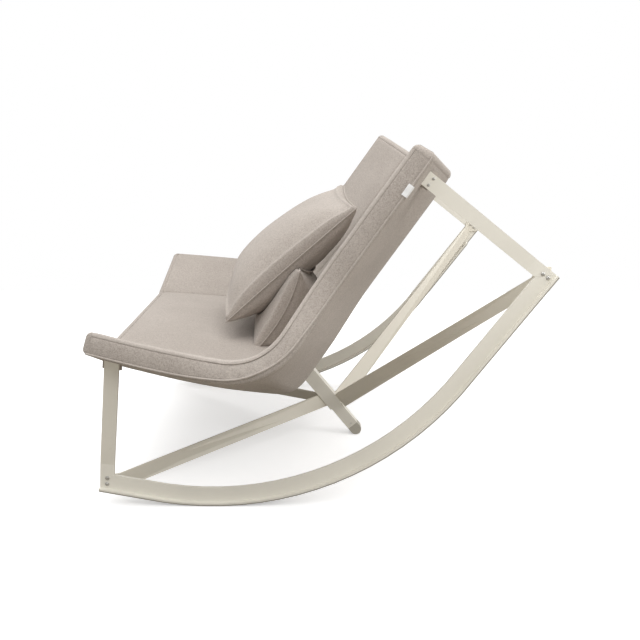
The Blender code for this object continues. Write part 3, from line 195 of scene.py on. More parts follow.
def flare(s):
    """How much wider the shell is near the bend."""
    if s < FLARE_PEAK:
        return FLARE * math.sin(math.pi / 2 * max(s - S_FRONT, 0.0) / (FLARE_PEAK - S_FRONT))
    share = min((s - FLARE_PEAK) / (FLARE_END - FLARE_PEAK), 1.0)
    return FLARE * (1.0 + math.cos(math.pi * share)) / 2


def deeper(s, t):
    """How much deeper the middle panel lies in the bend, where it turns on its own radius."""
    if s <= 0.0 or s >= ARC_LEN:
        return 0.0
    off = abs(s / RIM_BEND - TURN / 2)
    radius = CENTRE_BEND + t
    plain = RIM_BEND + WING_RISE + t
    side, ahead = radius * math.sin(TURN / 2), BEND_STEP + radius * math.cos(TURN / 2)
    if off >= math.atan2(side, ahead):
        return plain / math.cos(TURN / 2 - off) - plain
    return BEND_STEP * math.cos(off) + math.sqrt(radius ** 2 - (BEND_STEP * math.sin(off)) ** 2) - plain


def across(s, u, t):
    """Place in the shell's cross-section: to the side, and out of the rim line."""
    rise = WING_RISE + deeper(s, 0.0)
    tilt = math.atan2(rise, WING_RUN)
    flat = CENTRE_HALF + flare(s) - FOLD_R * math.tan(tilt / 2)
    stretch = (WING_RUN / math.cos(tilt) - FOLD_R * math.tan(tilt / 2)) / (RIM_U - FOLD_END_U)
    a = abs(u)
    thick = t + deeper(s, t) - deeper(s, 0.0)
    if a <= FLAT_HALF:
        y, w, angle = a * flat / FLAT_HALF, -rise, 0.0
    else:
        share = min((a - FLAT_HALF) / (FOLD_END_U - FLAT_HALF), 1.0)
        angle = tilt * share
        along = max(a - FOLD_END_U, 0.0) * stretch
        y = flat + FOLD_R * math.sin(angle) + along * math.cos(angle)
        w = -rise + FOLD_R * (1.0 - math.cos(angle)) + along * math.sin(angle)
        thick += (t - thick) * share
    return math.copysign(y + thick * math.sin(angle), u), w - thick * math.cos(angle)


def on_shell(s, u, t):
    """World place of s along the rim line, u across from the middle and t down through the shell.

    s grows from the front edge to the top edge and is 0 where the bend starts.
    """
    y, w = across(s, u, t)
    point, normal = rim_line(s)
    p = point + normal * w
    return Vector((p.x, y, p.y))


def spread(a, b, count):
    """Evenly spaced values from a to b."""
    return [a + (b - a) * k / (count - 1) for k in range(count)]


def clamped(x):
    return min(max(x, 0.0), 1.0)


def smooth_step(x):
    """Soft rise from 0 to 1 as x does the same."""
    x = clamped(x)
    return x * x * (3.0 - 2.0 * x)


def bell(x, width):
    """1 at x = 0, falling off on both sides over the width."""
    return math.exp(-(x / width) ** 2)


# Materials
def tree_of(name):
    """New material with nodes: itself, its nodes, its links and its shader."""
    material = bpy.data.materials.new(name)
    material.use_nodes = True
    nodes, links = material.node_tree.nodes, material.node_tree.links
    return material, nodes, links, nodes["Principled BSDF"]


def add(nodes, kind, **values):
    """New node, with its inputs and settings by name."""
    node = nodes.new(kind)
    for key, value in values.items():
        if key in node.inputs.keys():
            node.inputs[key].default_value = value
        else:
            setattr(node, key, value)
    return node


def ramp(nodes, links, factor, stops):
    """Colour over a factor, from (place, colour) stops."""
    node = nodes.new("ShaderNodeValToRGB")
    for k, (place, colour) in enumerate(stops):
        if k < 2:
            element = node.color_ramp.elements[k]
            element.position = place
        else:
            element = node.color_ramp.elements.new(place)
        element.color = (*colour, 1.0)
    links.new(factor, node.inputs["Fac"])
    return node.outputs["Color"]


def multiply(nodes, links, first, second):
    """Product of two colours."""
    node = add(nodes, "ShaderNodeMix", data_type="RGBA", blend_type="MULTIPLY")
    node.inputs["Factor"].default_value = 1.0
    links.new(first, node.inputs["A"])
    links.new(second, node.inputs["B"])
    return node.outputs["Result"]


def bump(nodes, links, height, strength, distance, under=None):
    """Bump from a height, over the bump under it."""
    node = add(nodes, "ShaderNodeBump", Strength=strength, Distance=distance)
    links.new(height, node.inputs["Height"])
    if under is not None:
        links.new(under, node.inputs["Normal"])
    return node.outputs["Normal"]


def seen_or_lit(nodes, links, seen, lit, output):
    """Show one shader to the camera, and light the chair with another."""
    path = add(nodes, "ShaderNodeLightPath")
    either = add(nodes, "ShaderNodeMixShader")
    links.new(path.outputs["Is Camera Ray"], either.inputs["Fac"])
    links.new(lit, either.inputs[1])
    links.new(seen, either.inputs[2])
    links.new(either.outputs["Shader"], output.inputs["Surface"])


def fabric(name, colour, contrast, scale=1.0):
    """Heathered plain weave: crossed threads as bump, mixed yarns and soft mottling as colour."""
    material, nodes, links, shader = tree_of(name)
    cells = add(nodes, "ShaderNodeTexVoronoi", Scale=760.0 * scale, Randomness=0.9)
    fleck = add(nodes, "ShaderNodeTexNoise", Scale=400.0 * scale, Detail=3.0, Roughness=0.7)
    slub = add(nodes, "ShaderNodeTexNoise", Scale=150.0, Detail=4.0, Roughness=0.6)
    cloud = add(nodes, "ShaderNodeTexNoise", Scale=7.0, Detail=3.0, Roughness=0.5)
    thread = add(nodes, "ShaderNodeTexWave", wave_type="BANDS", bands_direction="DIAGONAL",
                 Scale=210.0 * scale, Distortion=2.2, Detail=1.0)
    place = add(nodes, "ShaderNodeTexCoord")
    for node in (cells, fleck, slub, cloud, thread):
        links.new(place.outputs["Object"], node.inputs["Vector"])

    dark = [c * (1.0 - 0.42 * contrast) for c in colour]
    light = [min(c * (1.0 + 0.30 * contrast), 1.0) for c in colour]
    yarn = ramp(nodes, links, fleck.outputs["Fac"], ((0.30, dark), (0.52, colour), (0.74, light)))
    mottle = ramp(nodes, links, slub.outputs["Fac"], ((0.36, (0.93, 0.925, 0.92)), (0.64, (1.045,) * 3)))
    drift = ramp(nodes, links, cloud.outputs["Fac"], ((0.35, (0.95, 0.945, 0.94)), (0.65, (1.03,) * 3)))
    tone = multiply(nodes, links, multiply(nodes, links, yarn, mottle), drift)
    links.new(tone, shader.inputs["Base Color"])

    height = add(nodes, "ShaderNodeMath", operation="ADD")
    links.new(cells.outputs["Distance"], height.inputs[0])
    links.new(thread.outputs["Fac"], height.inputs[1])
    grain = bump(nodes, links, height.outputs["Value"], 0.35, 0.0006)
    soft = bump(nodes, links, slub.outputs["Fac"], 0.30, 0.004, grain)
    links.new(soft, shader.inputs["Normal"])
    shader.inputs["Roughness"].default_value = 0.95
    shader.inputs["Specular IOR Level"].default_value = 0.15
    shader.inputs["Sheen Weight"].default_value = 0.25
    shader.inputs["Sheen Roughness"].default_value = 0.5
    shader.inputs["Sheen Tint"].default_value = (0.92, 0.88, 0.84, 1.0)
    return material


def painted(name, colour, roughness, peel_strength):
    """Powder coat: fine orange peel, faint mottling and rubbed darker specks."""
    material, nodes, links, shader = tree_of(name)
    peel = add(nodes, "ShaderNodeTexNoise", Scale=260.0, Detail=1.0)
    cloud = add(nodes, "ShaderNodeTexNoise", Scale=9.0, Detail=5.0, Roughness=0.62)
    wear = add(nodes, "ShaderNodeTexNoise", Scale=46.0, Detail=6.0, Roughness=0.75)
    place = add(nodes, "ShaderNodeTexCoord")
    for node in (peel, cloud, wear):
        links.new(place.outputs["Object"], node.inputs["Vector"])
    dark, light = [c * 0.97 for c in colour], [min(c * 1.02, 1.0) for c in colour]
    tone = ramp(nodes, links, cloud.outputs["Fac"], ((0.30, dark), (0.70, light)))
    rub = ramp(nodes, links, wear.outputs["Fac"], ((0.25, (0.93, 0.92, 0.90)), (0.36, WHITE)))
    links.new(multiply(nodes, links, tone, rub), shader.inputs["Base Color"])
    gloss = add(nodes, "ShaderNodeMapRange")
    gloss.inputs["To Min"].default_value = roughness - 0.05
    gloss.inputs["To Max"].default_value = roughness + 0.09
    links.new(wear.outputs["Fac"], gloss.inputs["Value"])
    links.new(gloss.outputs["Result"], shader.inputs["Roughness"])
    links.new(bump(nodes, links, peel.outputs["Fac"], peel_strength, 0.0004), shader.inputs["Normal"])
    return material


def zinc():
    """Plated fasteners: brushed and a little dulled."""
    material, nodes, links, shader = tree_of("zinc_plate")
    brush = add(nodes, "ShaderNodeTexNoise", Scale=1400.0, Detail=2.0)
    dull = add(nodes, "ShaderNodeTexNoise", Scale=160.0, Detail=4.0)
    place = add(nodes, "ShaderNodeTexCoord")
    for node in (brush, dull):
        links.new(place.outputs["Object"], node.inputs["Vector"])
    tone = ramp(nodes, links, dull.outputs["Fac"], ((0.3, (0.40, 0.39, 0.37)), (0.7, (0.66, 0.65, 0.62))))
    links.new(tone, shader.inputs["Base Color"])
    links.new(bump(nodes, links, brush.outputs["Fac"], 0.2, 0.0003), shader.inputs["Normal"])
    shader.inputs["Metallic"].default_value = 0.9
    shader.inputs["Roughness"].default_value = 0.38
    return material


def plain_grain(name, dark, light, scale, roughness, stretch=(1.0, 1.0, 1.0)):
    """Rubber, plastic, wood or tape: one noise for tone and bump, drawn out along the grain."""
    material, nodes, links, shader = tree_of(name)
    place = add(nodes, "ShaderNodeTexCoord")
    size = add(nodes, "ShaderNodeMapping")
    size.inputs["Scale"].default_value = stretch
    links.new(place.outputs["Object"], size.inputs["Vector"])
    grain = add(nodes, "ShaderNodeTexNoise", Scale=scale, Detail=5.0, Roughness=0.65)
    links.new(size.outputs["Vector"], grain.inputs["Vector"])
    tone = ramp(nodes, links, grain.outputs["Fac"], ((0.3, dark), (0.7, light)))
    links.new(tone, shader.inputs["Base Color"])
    links.new(bump(nodes, links, grain.outputs["Fac"], 0.2, 0.0006), shader.inputs["Normal"])
    shader.inputs["Roughness"].default_value = roughness
    return material


CLOTH = fabric("shell_cloth", (0.408, 0.364, 0.326), 0.75)
PILLOW_CLOTH = fabric("pillow_cloth", (0.425, 0.380, 0.341), 0.75)
# Lighter cloth of the piping and the pillow welts, also laid on the rim's rounded edge as a painted
# highlight.
PIPING_AND_HIGHLIGHT = fabric("piping_cloth", (0.450, 0.405, 0.365), 0.5, 1.4)
CREAM = painted("cream_powder_coat", (0.800, 0.772, 0.690), 0.50, 0.03)
# The frame's cream paint made darker and warmer for the braces, as painted shade under the seat.
SHADED_CREAM = painted("cream_strap", (0.740, 0.700, 0.605), 0.52, 0.03)
PLATE = painted("dark_plate", (0.200, 0.180, 0.150), 0.60, 0.05)
CLOTH_TONED = painted("cloth_toned_plate", (0.400, 0.355, 0.315), 0.60, 0.03)
ZINC = zinc()
TREAD = plain_grain("tread_rubber", (0.330, 0.310, 0.270), (0.430, 0.405, 0.350), 240.0, 0.75)
SHOE = plain_grain("shoe_rubber", (0.450, 0.430, 0.370), (0.540, 0.510, 0.440), 300.0, 0.62)
KNOB = plain_grain("knob_plastic", (0.035, 0.034, 0.032), (0.060, 0.058, 0.054), 500.0, 0.48)
PLY = plain_grain("plywood", (0.420, 0.300, 0.170), (0.600, 0.450, 0.280), 40.0, 0.60, (1.0, 9.0, 1.0))
TAB = plain_grain("tab_cloth", (0.760, 0.760, 0.760), (0.880, 0.880, 0.880), 900.0, 0.90)


# Mesh helpers
def new_object(name, data):
    """Object in the scene from a mesh, camera or light."""
    obj = bpy.data.objects.new(name, data)
    bpy.context.scene.collection.objects.link(obj)
    return obj


def object_from(name, bm):
    """Object from a finished bmesh."""
    mesh = bpy.data.meshes.new(name)
    bm.to_mesh(mesh)
    bm.free()
    return new_object(name, mesh)


def finish_piece(name, bm, material):
    """Closed piece with its faces outwards, riding on the chair."""
    bmesh.ops.remove_doubles(bm, verts=bm.verts, dist=MERGE)
    bmesh.ops.recalc_face_normals(bm, faces=bm.faces)
    if bm.calc_volume(signed=True) < 0.0:
        bmesh.ops.reverse_faces(bm, faces=bm.faces)
    obj = object_from(name, bm)
    obj.data.materials.append(material)
    obj.data.shade_smooth()
    obj.data.set_sharp_from_angle(angle=SHARP)
    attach(obj, "chair")
    return obj


def add_rings(bm, rings, closed=False, highlight_faces=()):
    """Skin between rings of points; the listed faces take the second material, a painted highlight."""
    rows = [[bm.verts.new(p) for p in ring] for ring in rings]
    count = len(rows[0])
    pairs = list(zip(rows, rows[1:]))
    if closed:
        pairs.append((rows[-1], rows[0]))
    for a, b in pairs:
        for i in range(count):
            j = (i + 1) % count
            face = bm.faces.new((a[i], a[j], b[j], b[i]))
            face.material_index = 1 if i in highlight_faces else 0
    if not closed:
        bm.faces.new(rows[0])
        bm.faces.new(list(reversed(rows[-1])))


def sweep(name, outline, highlight_faces=()):
    """Cover of the shell from an outline (u, t) at each station along the rim line; the listed faces get
    the lighter cloth as a painted highlight.
    """
    bm = bmesh.new()
    add_rings(bm, [[on_shell(s, u, t) for u, t in outline(s)] for s in panel_stations()], False, highlight_faces)
    piece = finish_piece(name, bm, CLOTH)
    # The rim's rounded edge takes the lighter cloth as a painted highlight.
    if highlight_faces:
        piece.data.materials.append(PIPING_AND_HIGHLIGHT)
    return piece


def add_tube(bm, route, radius, segments, closed=False):
    """Round tube along a route."""
    rings = []
    count = len(route)
    side = None
    for k in range(count):
        before = route[k - 1] if closed or k > 0 else route[k]
        after = route[(k + 1) % count] if closed or k < count - 1 else route[k]
        ahead = (after - before).normalized()
        if side is None:
            side = ahead.orthogonal().normalized()
        side = (side - ahead * side.dot(ahead)).normalized()
        up = ahead.cross(side)
        turns = [2.0 * math.pi * j / segments for j in range(segments)]
        rings.append([route[k] + (side * math.cos(a) + up * math.sin(a)) * radius for a in turns])
    add_rings(bm, rings, closed)


def flutter(p, size, seed):
    """Smooth repeatable noise between about -1 and 1."""
    return noise.noise(Vector((p.x / size + seed, p.y / size - seed, p.z / size + seed * 0.5)))


def groove(distance, depth, width):
    """Dip beside a seam."""
    return depth * bell(distance, width)


# Camera, lights and floor
def build_camera():
    """Camera as fitted to the photograph."""
    camera = new_object("camera", bpy.data.cameras.new("camera"))
    camera.data.lens = LENS
    camera.data.sensor_width = SENSOR
    camera.location = CAMERA_AT
    camera.rotation_euler = (math.pi / 2 - CAMERA_DOWN, 0.0, CAMERA_TURN)
    bpy.context.scene.view_settings.view_transform = "Standard"
    bpy.context.scene.camera = camera


def build_world():
    """Studio that is bright beyond the chair and dimmer on the camera's side, seen as white paper."""
    world = bpy.data.worlds.new("studio")
    world.use_nodes = True
    nodes, links = world.node_tree.nodes, world.node_tree.links
    ahead = add(nodes, "ShaderNodeTexCoord")
    split = add(nodes, "ShaderNodeSeparateXYZ")
    links.new(ahead.outputs["Generated"], split.inputs["Vector"])
    turn = add(nodes, "ShaderNodeMapRange")
    turn.inputs["From Min"].default_value, turn.inputs["From Max"].default_value = WORLD_TURN
    links.new(split.outputs["Y"], turn.inputs["Value"])
    tone = ramp(nodes, links, turn.outputs["Result"], ((0.0, (DIM_SIDE,) * 3), (1.0, WHITE)))
    studio = nodes["Background"]
    links.new(tone, studio.inputs["Color"])
    studio.inputs["Strength"].default_value = WORLD_STRENGTH
    paper = add(nodes, "ShaderNodeBackground")
    paper.inputs["Color"].default_value = (*WHITE, 1.0)
    seen_or_lit(nodes, links, paper.outputs["Background"], studio.outputs["Background"],
                nodes["World Output"])
    bpy.context.scene.world = world


def build_light(name, place, target, size, power):
    """Rectangular lamp that faces its target."""
    data = bpy.data.lights.new(name, "AREA")
    data.shape = "RECTANGLE"
    data.size, data.size_y = size
    data.energy = power
    lamp = new_object(name, data)
    lamp.location = place
    lamp.rotation_euler = (Vector(target) - Vector(place)).to_track_quat("-Z", "Y").to_euler()


def build_floor():
    """Pale paper, which gives the chair a darker and warmer light than it shows the camera."""
    material, nodes, links, shader = tree_of("floor_paper")
    shader.inputs["Base Color"].default_value = (FLOOR_TONE, FLOOR_TONE, FLOOR_TONE, 1.0)
    shader.inputs["Roughness"].default_value = 1.0
    shader.inputs["Specular IOR Level"].default_value = 0.0
    shader.inputs["Emission Color"].default_value = (*WHITE, 1.0)
    shader.inputs["Emission Strength"].default_value = FLOOR_GLOW
    bounce = add(nodes, "ShaderNodeBsdfDiffuse")
    bounce.inputs["Color"].default_value = (*(FLOOR_BOUNCE * share for share in FLOOR_WARMTH), 1.0)
    seen_or_lit(nodes, links, shader.outputs["BSDF"], bounce.outputs["BSDF"], nodes["Material Output"])
    bm = bmesh.new()
    bm.faces.new([bm.verts.new((x, y, FLOOR_Z)) for x, y in FLOOR_CORNERS])
    floor = object_from("floor", bm)
    floor.data.materials.append(material)


# Upholstered shell
def panel_stations():
    """Places along the rim line for the panels' outlines, closer in the bend and at the ends."""
    count = int((PANEL_TOP - PANEL_FRONT) / STATION_STEP) + 1
    even = spread(PANEL_FRONT, PANEL_TOP, count)
    straight = [s for s in even if s < -BEND_MARGIN or s > ARC_LEN + BEND_MARGIN]
    turns = [k / BEND_STATIONS for k in range(-BEND_STATIONS, BEND_STATIONS + 1)]
    bend = [ARC_LEN / 2 * (1.0 + math.copysign(abs(k) ** 1.5, k)) for k in turns]
    inside = [s for s in straight + bend if PANEL_FRONT + END_STEPS[1] < s < PANEL_TOP - END_STEPS[1]]
    ends = [PANEL_FRONT + step for step in END_STEPS] + [PANEL_TOP - step for step in END_STEPS]
    return sorted([PANEL_FRONT, PANEL_TOP] + inside + ends)


def upholster(piece, node):
    """Hide a solid of the shell, which a padded cover stands for."""
    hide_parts(node)


def seam_at(s):
    """Depth of the rim band's lower seam, which climbs where the shell bends."""
    return SEAM_T - SEAM_RISE * bell(s - SEAM_RISE_AT * ARC_LEN, SEAM_RISE_REACH)


def end_dip(s):
    """Dip of a panel at the seams with the front and top bands."""
    return groove(s - PANEL_FRONT, *SEAM_GROOVE) + groove(PANEL_TOP - s, *SEAM_GROOVE)


def crown(s, u, depth):
    """Swell of the middle panel, none at its seams."""
    along = clamped(min(s - PANEL_FRONT, PANEL_TOP - s) / CROWN_REACH)
    return depth * math.sin(along * math.pi / 2) * max(1.0 - (abs(u) / MIDDLE_HALF) ** 4, 0.0)


def bend_creases(s, u, seed):
    """Shallow folds across the panel where the shell bends."""
    near = bell(s - ARC_LEN / 2, CREASE_REACH)
    if near < 0.02:
        return 0.0
    sway = 0.25 * math.sin(u * 9.0 + seed)
    return CREASE * near * noise.noise(Vector((s / CREASE_WIDE + sway, u / CREASE_LONG, seed)))


def slack(s, u, inside, size, seed, step):
    """Unevenness of a stretched panel; inside is 0 at its seams and 1 well within."""
    p = on_shell(s, u, 0.0)
    uneven = SLACK_WIDE * flutter(p, size, seed) + SLACK_FINE * flutter(p, SLACK_FINE_SIZE, seed + step)
    return clamped(inside) * (uneven + bend_creases(s, u, seed))


def middle_rise(s, u, depth, seed):
    """How far the middle panel's cover stands up."""
    to_seam = MIDDLE_HALF - abs(u)
    rise = crown(s, u, depth) - (groove(to_seam, *SEAM_GROOVE) + end_dip(s))
    inside = min(to_seam, s - PANEL_FRONT, PANEL_TOP - s) / SEAM_FADE
    return rise + slack(s, u, inside, 0.085, seed, 3.0)


def build_middle():
    """Seat and back cover in one panel, and the outer back's cover."""
    seams = [side * (MIDDLE_HALF - step) for side in (-1, 1) for step in SEAM_STEPS]
    places = sorted(spread(-MIDDLE_HALF, MIDDLE_HALF, 61) + seams)

    def inner_outline(s):
        face = [(u, -middle_rise(s, u, CROWN, MIDDLE_SEED)) for u in places]
        return face + [(u, CORE_TOP - GAP) for u in reversed(places)]

    def outer_outline(s):
        face = [(u, SHELL_T + BACK_SHARE * middle_rise(s, u, BACK_CROWN, BACK_SEED) - BACK_IN)
                for u in reversed(places)]
        return [(u, CORE_LOW + GAP) for u in places] + face

    upholster(sweep("seat_back_cover", inner_outline), "seat_back_pad")
    upholster(sweep("outer_back_cover", outer_outline), "outer_back_pad")


def wing_rise(s, u, seed):
    """How far a wing's cover stands up."""
    share = (u - WING_IN) / (WING_OUT - WING_IN)
    swell = WING_SWELL * math.sin(math.pi * share) ** 0.6 if 0.0 < share < 1.0 else 0.0
    dips = groove(u - WING_IN, *SEAM_GROOVE) + groove(WING_OUT - u, *EDGE_GROOVE) + end_dip(s)
    inside = min((u - WING_IN) / SEAM_FADE, (WING_OUT - u) / RIM_FADE)
    return swell - dips + slack(s, u, inside, 0.08, seed, 2.0)


def band_out(s, t, seed):
    """How far the rim band's face stands out from the rim's plane."""
    share = clamped((t - EDGE_R) / (seam_at(s) - EDGE_R))
    inside = math.sin(math.pi * share)
    near = bell(s - ARC_LEN / 2, BEND_REACH)
    tilt = BAND_TILT * near * (share - BAND_TILT_AT)
    pucker = BAND_PUCKER * near * noise.noise(Vector((s / 0.016, t / 0.05, seed)))
    uneven = SLACK_FINE * flutter(on_shell(s, seed, t), 0.05, seed)
    return BAND_SWELL * inside + tilt + inside * (pucker + uneven) - groove(t - EDGE_R, *EDGE_GROOVE)


WING_PLACES = ([WING_IN] + [WING_IN + step for step in SEAM_STEPS]
               + spread(WING_IN + 0.014, WING_OUT - 0.012, 22)
               + [WING_OUT - step for step in reversed(SEAM_STEPS)])
RIM_TURNS = spread(0.0, math.pi / 2, 8)
# Faces of the rim's rounded edge, which take the lighter cloth as a painted highlight.
RIM_HIGHLIGHT_FACES = range(len(WING_PLACES), len(WING_PLACES) + len(RIM_TURNS) - 1)


def wing_outline(s, side):
    """Face, rounded rim, band, rolled lower seam, underside, and the slot for the core."""
    seam_t = seam_at(s)
    seed = side * 2.0
    out = band_out(s, seam_t, seed)
    band = [EDGE_R + step for step in BAND_STEPS] + spread(EDGE_R + 0.010, seam_t - 0.005, 8)
    roll = spread(0.15, math.pi / 2, 5)
    slot = spread(WING_IN, CORE_U + GAP, 12)
    points = [(u, -wing_rise(s, u, WING_SEED + side)) for u in WING_PLACES]
    points += [(WING_OUT + EDGE_R * math.sin(a), EDGE_R - EDGE_R * math.cos(a)) for a in RIM_TURNS]
    points += [(RIM_U + band_out(s, t, seed), t) for t in band]
    points += [(RIM_U + 0.0001 + out, seam_t - 0.002), (RIM_U - 0.0020 + out, seam_t)]
    points += [(RIM_U - ROLL_IN + (ROLL_R + out) * math.cos(a), seam_t + (SHELL_T - seam_t) * math.sin(a))
               for a in roll]
    points += [(RIM_U - step, SHELL_T - WING_BACK_IN - groove(step - UNDER_GROOVE_IN, *UNDER_GROOVE))
               for step in UNDER_STEPS]
    points += [(u, SHELL_T + WING_BACK_SHARE * wing_rise(s, u, WING_BACK_SEED + side) - WING_BACK_IN)
               for u in reversed(WING_PLACES[:-len(SEAM_STEPS)])]
    points += [(u, CORE_LOW + GAP) for u in slot]
    points += [(u, CORE_TOP - GAP) for u in reversed(slot)]
    return [(side * u, t) for u, t in points]


def build_wing(side, word):
    """Cover of one wing with its rim band, cut free round the bars."""
    wing = sweep(f"{word}_wing_cover", lambda s: wing_outline(s, side), RIM_HIGHLIGHT_FACES)
    cut_room(wing, [f"{word}_{bar}" for bar in ("front_leg", "leg_bracket", "back_link", "link_bracket")])
    upholster(wing, f"{word}_wing_pad")


def grown_copy(node, amount):
    """Closed copy of a node's mesh with each face moved out, as a cutter."""
    bm = bmesh.new()
    bm.from_mesh(bpy.data.objects[node].data)
    bmesh.ops.remove_doubles(bm, verts=bm.verts, dist=MERGE_SOLID)
    bmesh.ops.recalc_face_normals(bm, faces=bm.faces)
    bm.normal_update()
    for vert in bm.verts:
        planes = []
        for face in vert.link_faces:
            if not any(face.normal.dot(other) > SAME_WAY for other in planes):
                planes.append(face.normal)
        vert.co = vert.co + sum(planes, Vector()) * amount
    return object_from(node + "_room", bm)


def cut_room(piece, nodes):
    """Leave room in the padding for the bars and brackets that reach the core."""
    cutters = [grown_copy(node, ROOM) for node in nodes]
    for cutter in cutters:
        modifier = piece.modifiers.new(cutter.name, "BOOLEAN")
        modifier.operation = "DIFFERENCE"
        modifier.solver = "EXACT"
        modifier.object = cutter
    bpy.context.view_layer.update()
    graph = bpy.context.evaluated_depsgraph_get()
    mesh = bpy.data.meshes.new_from_object(piece.evaluated_get(graph))
    piece.modifiers.clear()
    old = piece.data
    piece.data = mesh
    mesh.name = piece.name
    bpy.data.meshes.remove(old)
    for cutter in cutters:
        data = cutter.data
        bpy.data.objects.remove(cutter)
        bpy.data.meshes.remove(data)


def end_ring(end, way, d):
    """Outline of an end band at a distance d behind its face, which is rounded and leans out."""
    round_off = END_R - math.sqrt(max(END_R ** 2 - max(END_R - d, 0.0) ** 2, 0.0))
    inset = min(round_off, EDGE_R - 0.0002)
    r = EDGE_R - inset
    dip = groove(BAND_T - d, *END_GROOVE)
    free = 1.0 - d / BAND_T
    uneven = END_SLACK if d > 0.003 else 0.0
    places = spread(-WING_OUT, WING_OUT, 90)
    turns = spread(0.1, math.pi / 2 - 0.1, 6)
    down = spread(EDGE_R, SHELL_T - EDGE_R, 6)
    low = SHELL_T - EDGE_R

    def put(u, t):
        lean = LEAN * free * clamped(t / SHELL_T)
        return on_shell(end + way * d - way * lean, u, t)

    def side_point(side, t):
        swell = END_SWELL * math.sin(math.pi * (t - EDGE_R) / (low - EDGE_R)) * min(1.0, 0.3 + free)
        return put(side * (RIM_U - inset + swell), t)

    ring = [put(u, round_off + dip - uneven * flutter(on_shell(end, u, 0.0), 0.06, END_SEED))
            for u in places]
    ring += [put(WING_OUT + r * math.sin(a), EDGE_R - r * math.cos(a)) for a in turns]
    ring += [side_point(1.0, t) for t in down]
    ring += [put(WING_OUT + r * math.cos(a), low + r * math.sin(a)) for a in turns]
    ring += [put(u, SHELL_T - round_off - dip) for u in reversed(places)]
    ring += [put(-(WING_OUT + r * math.sin(a)), low + r * math.cos(a)) for a in turns]
    ring += [side_point(-1.0, t) for t in reversed(down)]
    ring += [put(-(WING_OUT + r * math.cos(a)), EDGE_R - r * math.sin(a)) for a in turns]
    return ring


def build_end_band(name, node, end, way):
    """Band that closes the front or the top edge, rounded and sewn to the panels."""
    depths = [0.0, 0.0006, 0.002, 0.004, 0.007, EDGE_R, BAND_T - 0.0025, BAND_T - 0.0012, BAND_T]
    bm = bmesh.new()
    add_rings(bm, [end_ring(end, way, d) for d in depths])
    upholster(finish_piece(name, bm, CLOTH), node)


def build_piping(side, word):
    """Piping in the rim band's lower seam."""
    route = []
    for s in spread(S_FRONT + PIPE_END, S_TOP - PIPE_END, 150):
        out = PIPE_BEND_OUT * bell(s - ARC_LEN / 2, BEND_REACH) - PIPE_IN
        route.append(on_shell(s, side * (RIM_U + out), seam_at(s) + PIPE_LOW))
    bm = bmesh.new()
    add_tube(bm, route, PIPE_R, 10)
    finish_piece(f"{word}_rim_piping", bm, PIPING_AND_HIGHLIGHT)


def build_tab():
    """Blank folded cloth tab sewn into the left rim's lower seam."""
    middle = S_TOP - LABEL_DOWN + TAB_UP
    rings = []
    for s in spread(middle - TAB_HALF, middle + TAB_HALF, 9):
        curl = 0.0006 * math.sin((s - middle) * 240.0)
        out = [(RIM_U - 0.016, SHELL_T + 0.0010), (RIM_U - 0.004, SHELL_T + 0.0022),
               (RIM_U + 0.0032, SHELL_T + 0.0016), (RIM_U + 0.0052 + curl, SHELL_T - 0.0045),
               (RIM_U + 0.0060 + curl, SHELL_T - 0.0090)]
        back = [(u - TAB_THICK[0], t - TAB_THICK[1]) for u, t in reversed(out)]
        rings.append([on_shell(s, -u, t) for u, t in out + back])
    bm = bmesh.new()
    add_rings(bm, rings)
    tab = finish_piece("blank_tab", bm, TAB)
    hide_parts("label_tab")


# Pillows
def roundness(p, q, power):
    """1 in the middle of a pillow, falling to 0 at its seam."""
    return max((1.0 - p * p) * (1.0 - q * q), 0.0) ** power


class Pillow:
    """Place and size of a pillow. Its lower end is p = -1, and the camera's side is q = -1."""

    def __init__(self, at, tilt, roll, sizes):
        self.at = Vector(at)
        self.half_l, self.half_w, self.top, self.low = sizes
        self.along = Vector((math.cos(tilt), 0.0, math.sin(tilt)))
        up = Vector((-math.sin(tilt), 0.0, math.cos(tilt)))
        self.side = Vector((0.0, math.cos(roll), 0.0)) + up * math.sin(roll)
        self.up = self.along.cross(self.side)

    def point(self, p, q, depth):
        """World place over p and q, raised by a depth that fades out at the seam."""
        wide_l = self.half_l * (1.0 - PILLOW_PULL * (1.0 - q * q))
        wide_w = self.half_w * (1.0 - PILLOW_PULL * (1.0 - p * p))
        rise = depth * roundness(p, q, PILLOW_FULL)
        return self.at + self.along * (p * wide_l) + self.side * (q * wide_w) + self.up * rise


def apply_cloth(obj, pinned):
    """Run a short cloth simulation without gravity and give back where its points end."""
    group = obj.vertex_groups.new(name="pin")
    group.add(pinned, 1.0, "REPLACE")
    modifier = obj.modifiers.new("cloth", "CLOTH")
    settings = modifier.settings
    settings.quality = 6
    settings.mass = 0.2
    settings.tension_stiffness = 12.0
    settings.compression_stiffness = 6.0
    settings.shear_stiffness = 4.0
    settings.bending_stiffness = 0.25
    settings.use_pressure = True
    settings.uniform_pressure_force = CLOTH_PRESSURE
    settings.shrink_min = -CLOTH_GROW
    settings.vertex_group_mass = "pin"
    settings.effector_weights.gravity = 0.0
    modifier.collision_settings.use_collision = False
    scene = bpy.context.scene
    scene.frame_start = 1
    for k in range(1, CLOTH_FRAMES + 1):
        scene.frame_set(k)
    graph = bpy.context.evaluated_depsgraph_get()
    shape = obj.evaluated_get(graph).to_mesh()
    places = [vert.co.copy() for vert in shape.vertices]
    obj.evaluated_get(graph).to_mesh_clear()
    obj.modifiers.remove(modifier)
    scene.frame_set(1)
    return places


def tree_over(obj):
    """Search tree over an object's faces, in world space."""
    world = obj.matrix_world
    return BVHTree.FromPolygons([world @ vert.co for vert in obj.data.vertices],
                                [tuple(face.vertices) for face in obj.data.polygons])


def full_top(pillow, p, q):
    """Swell of the large pillow's face towards its lower end, with the puckers at its near seam."""
    swell = TOP_FULL * smooth_step((0.5 - p) / 0.9) * (1.0 - p ** 4) * (1.0 - q ** 4)
    return pillow.up * (swell + seam_puckers(p, q))


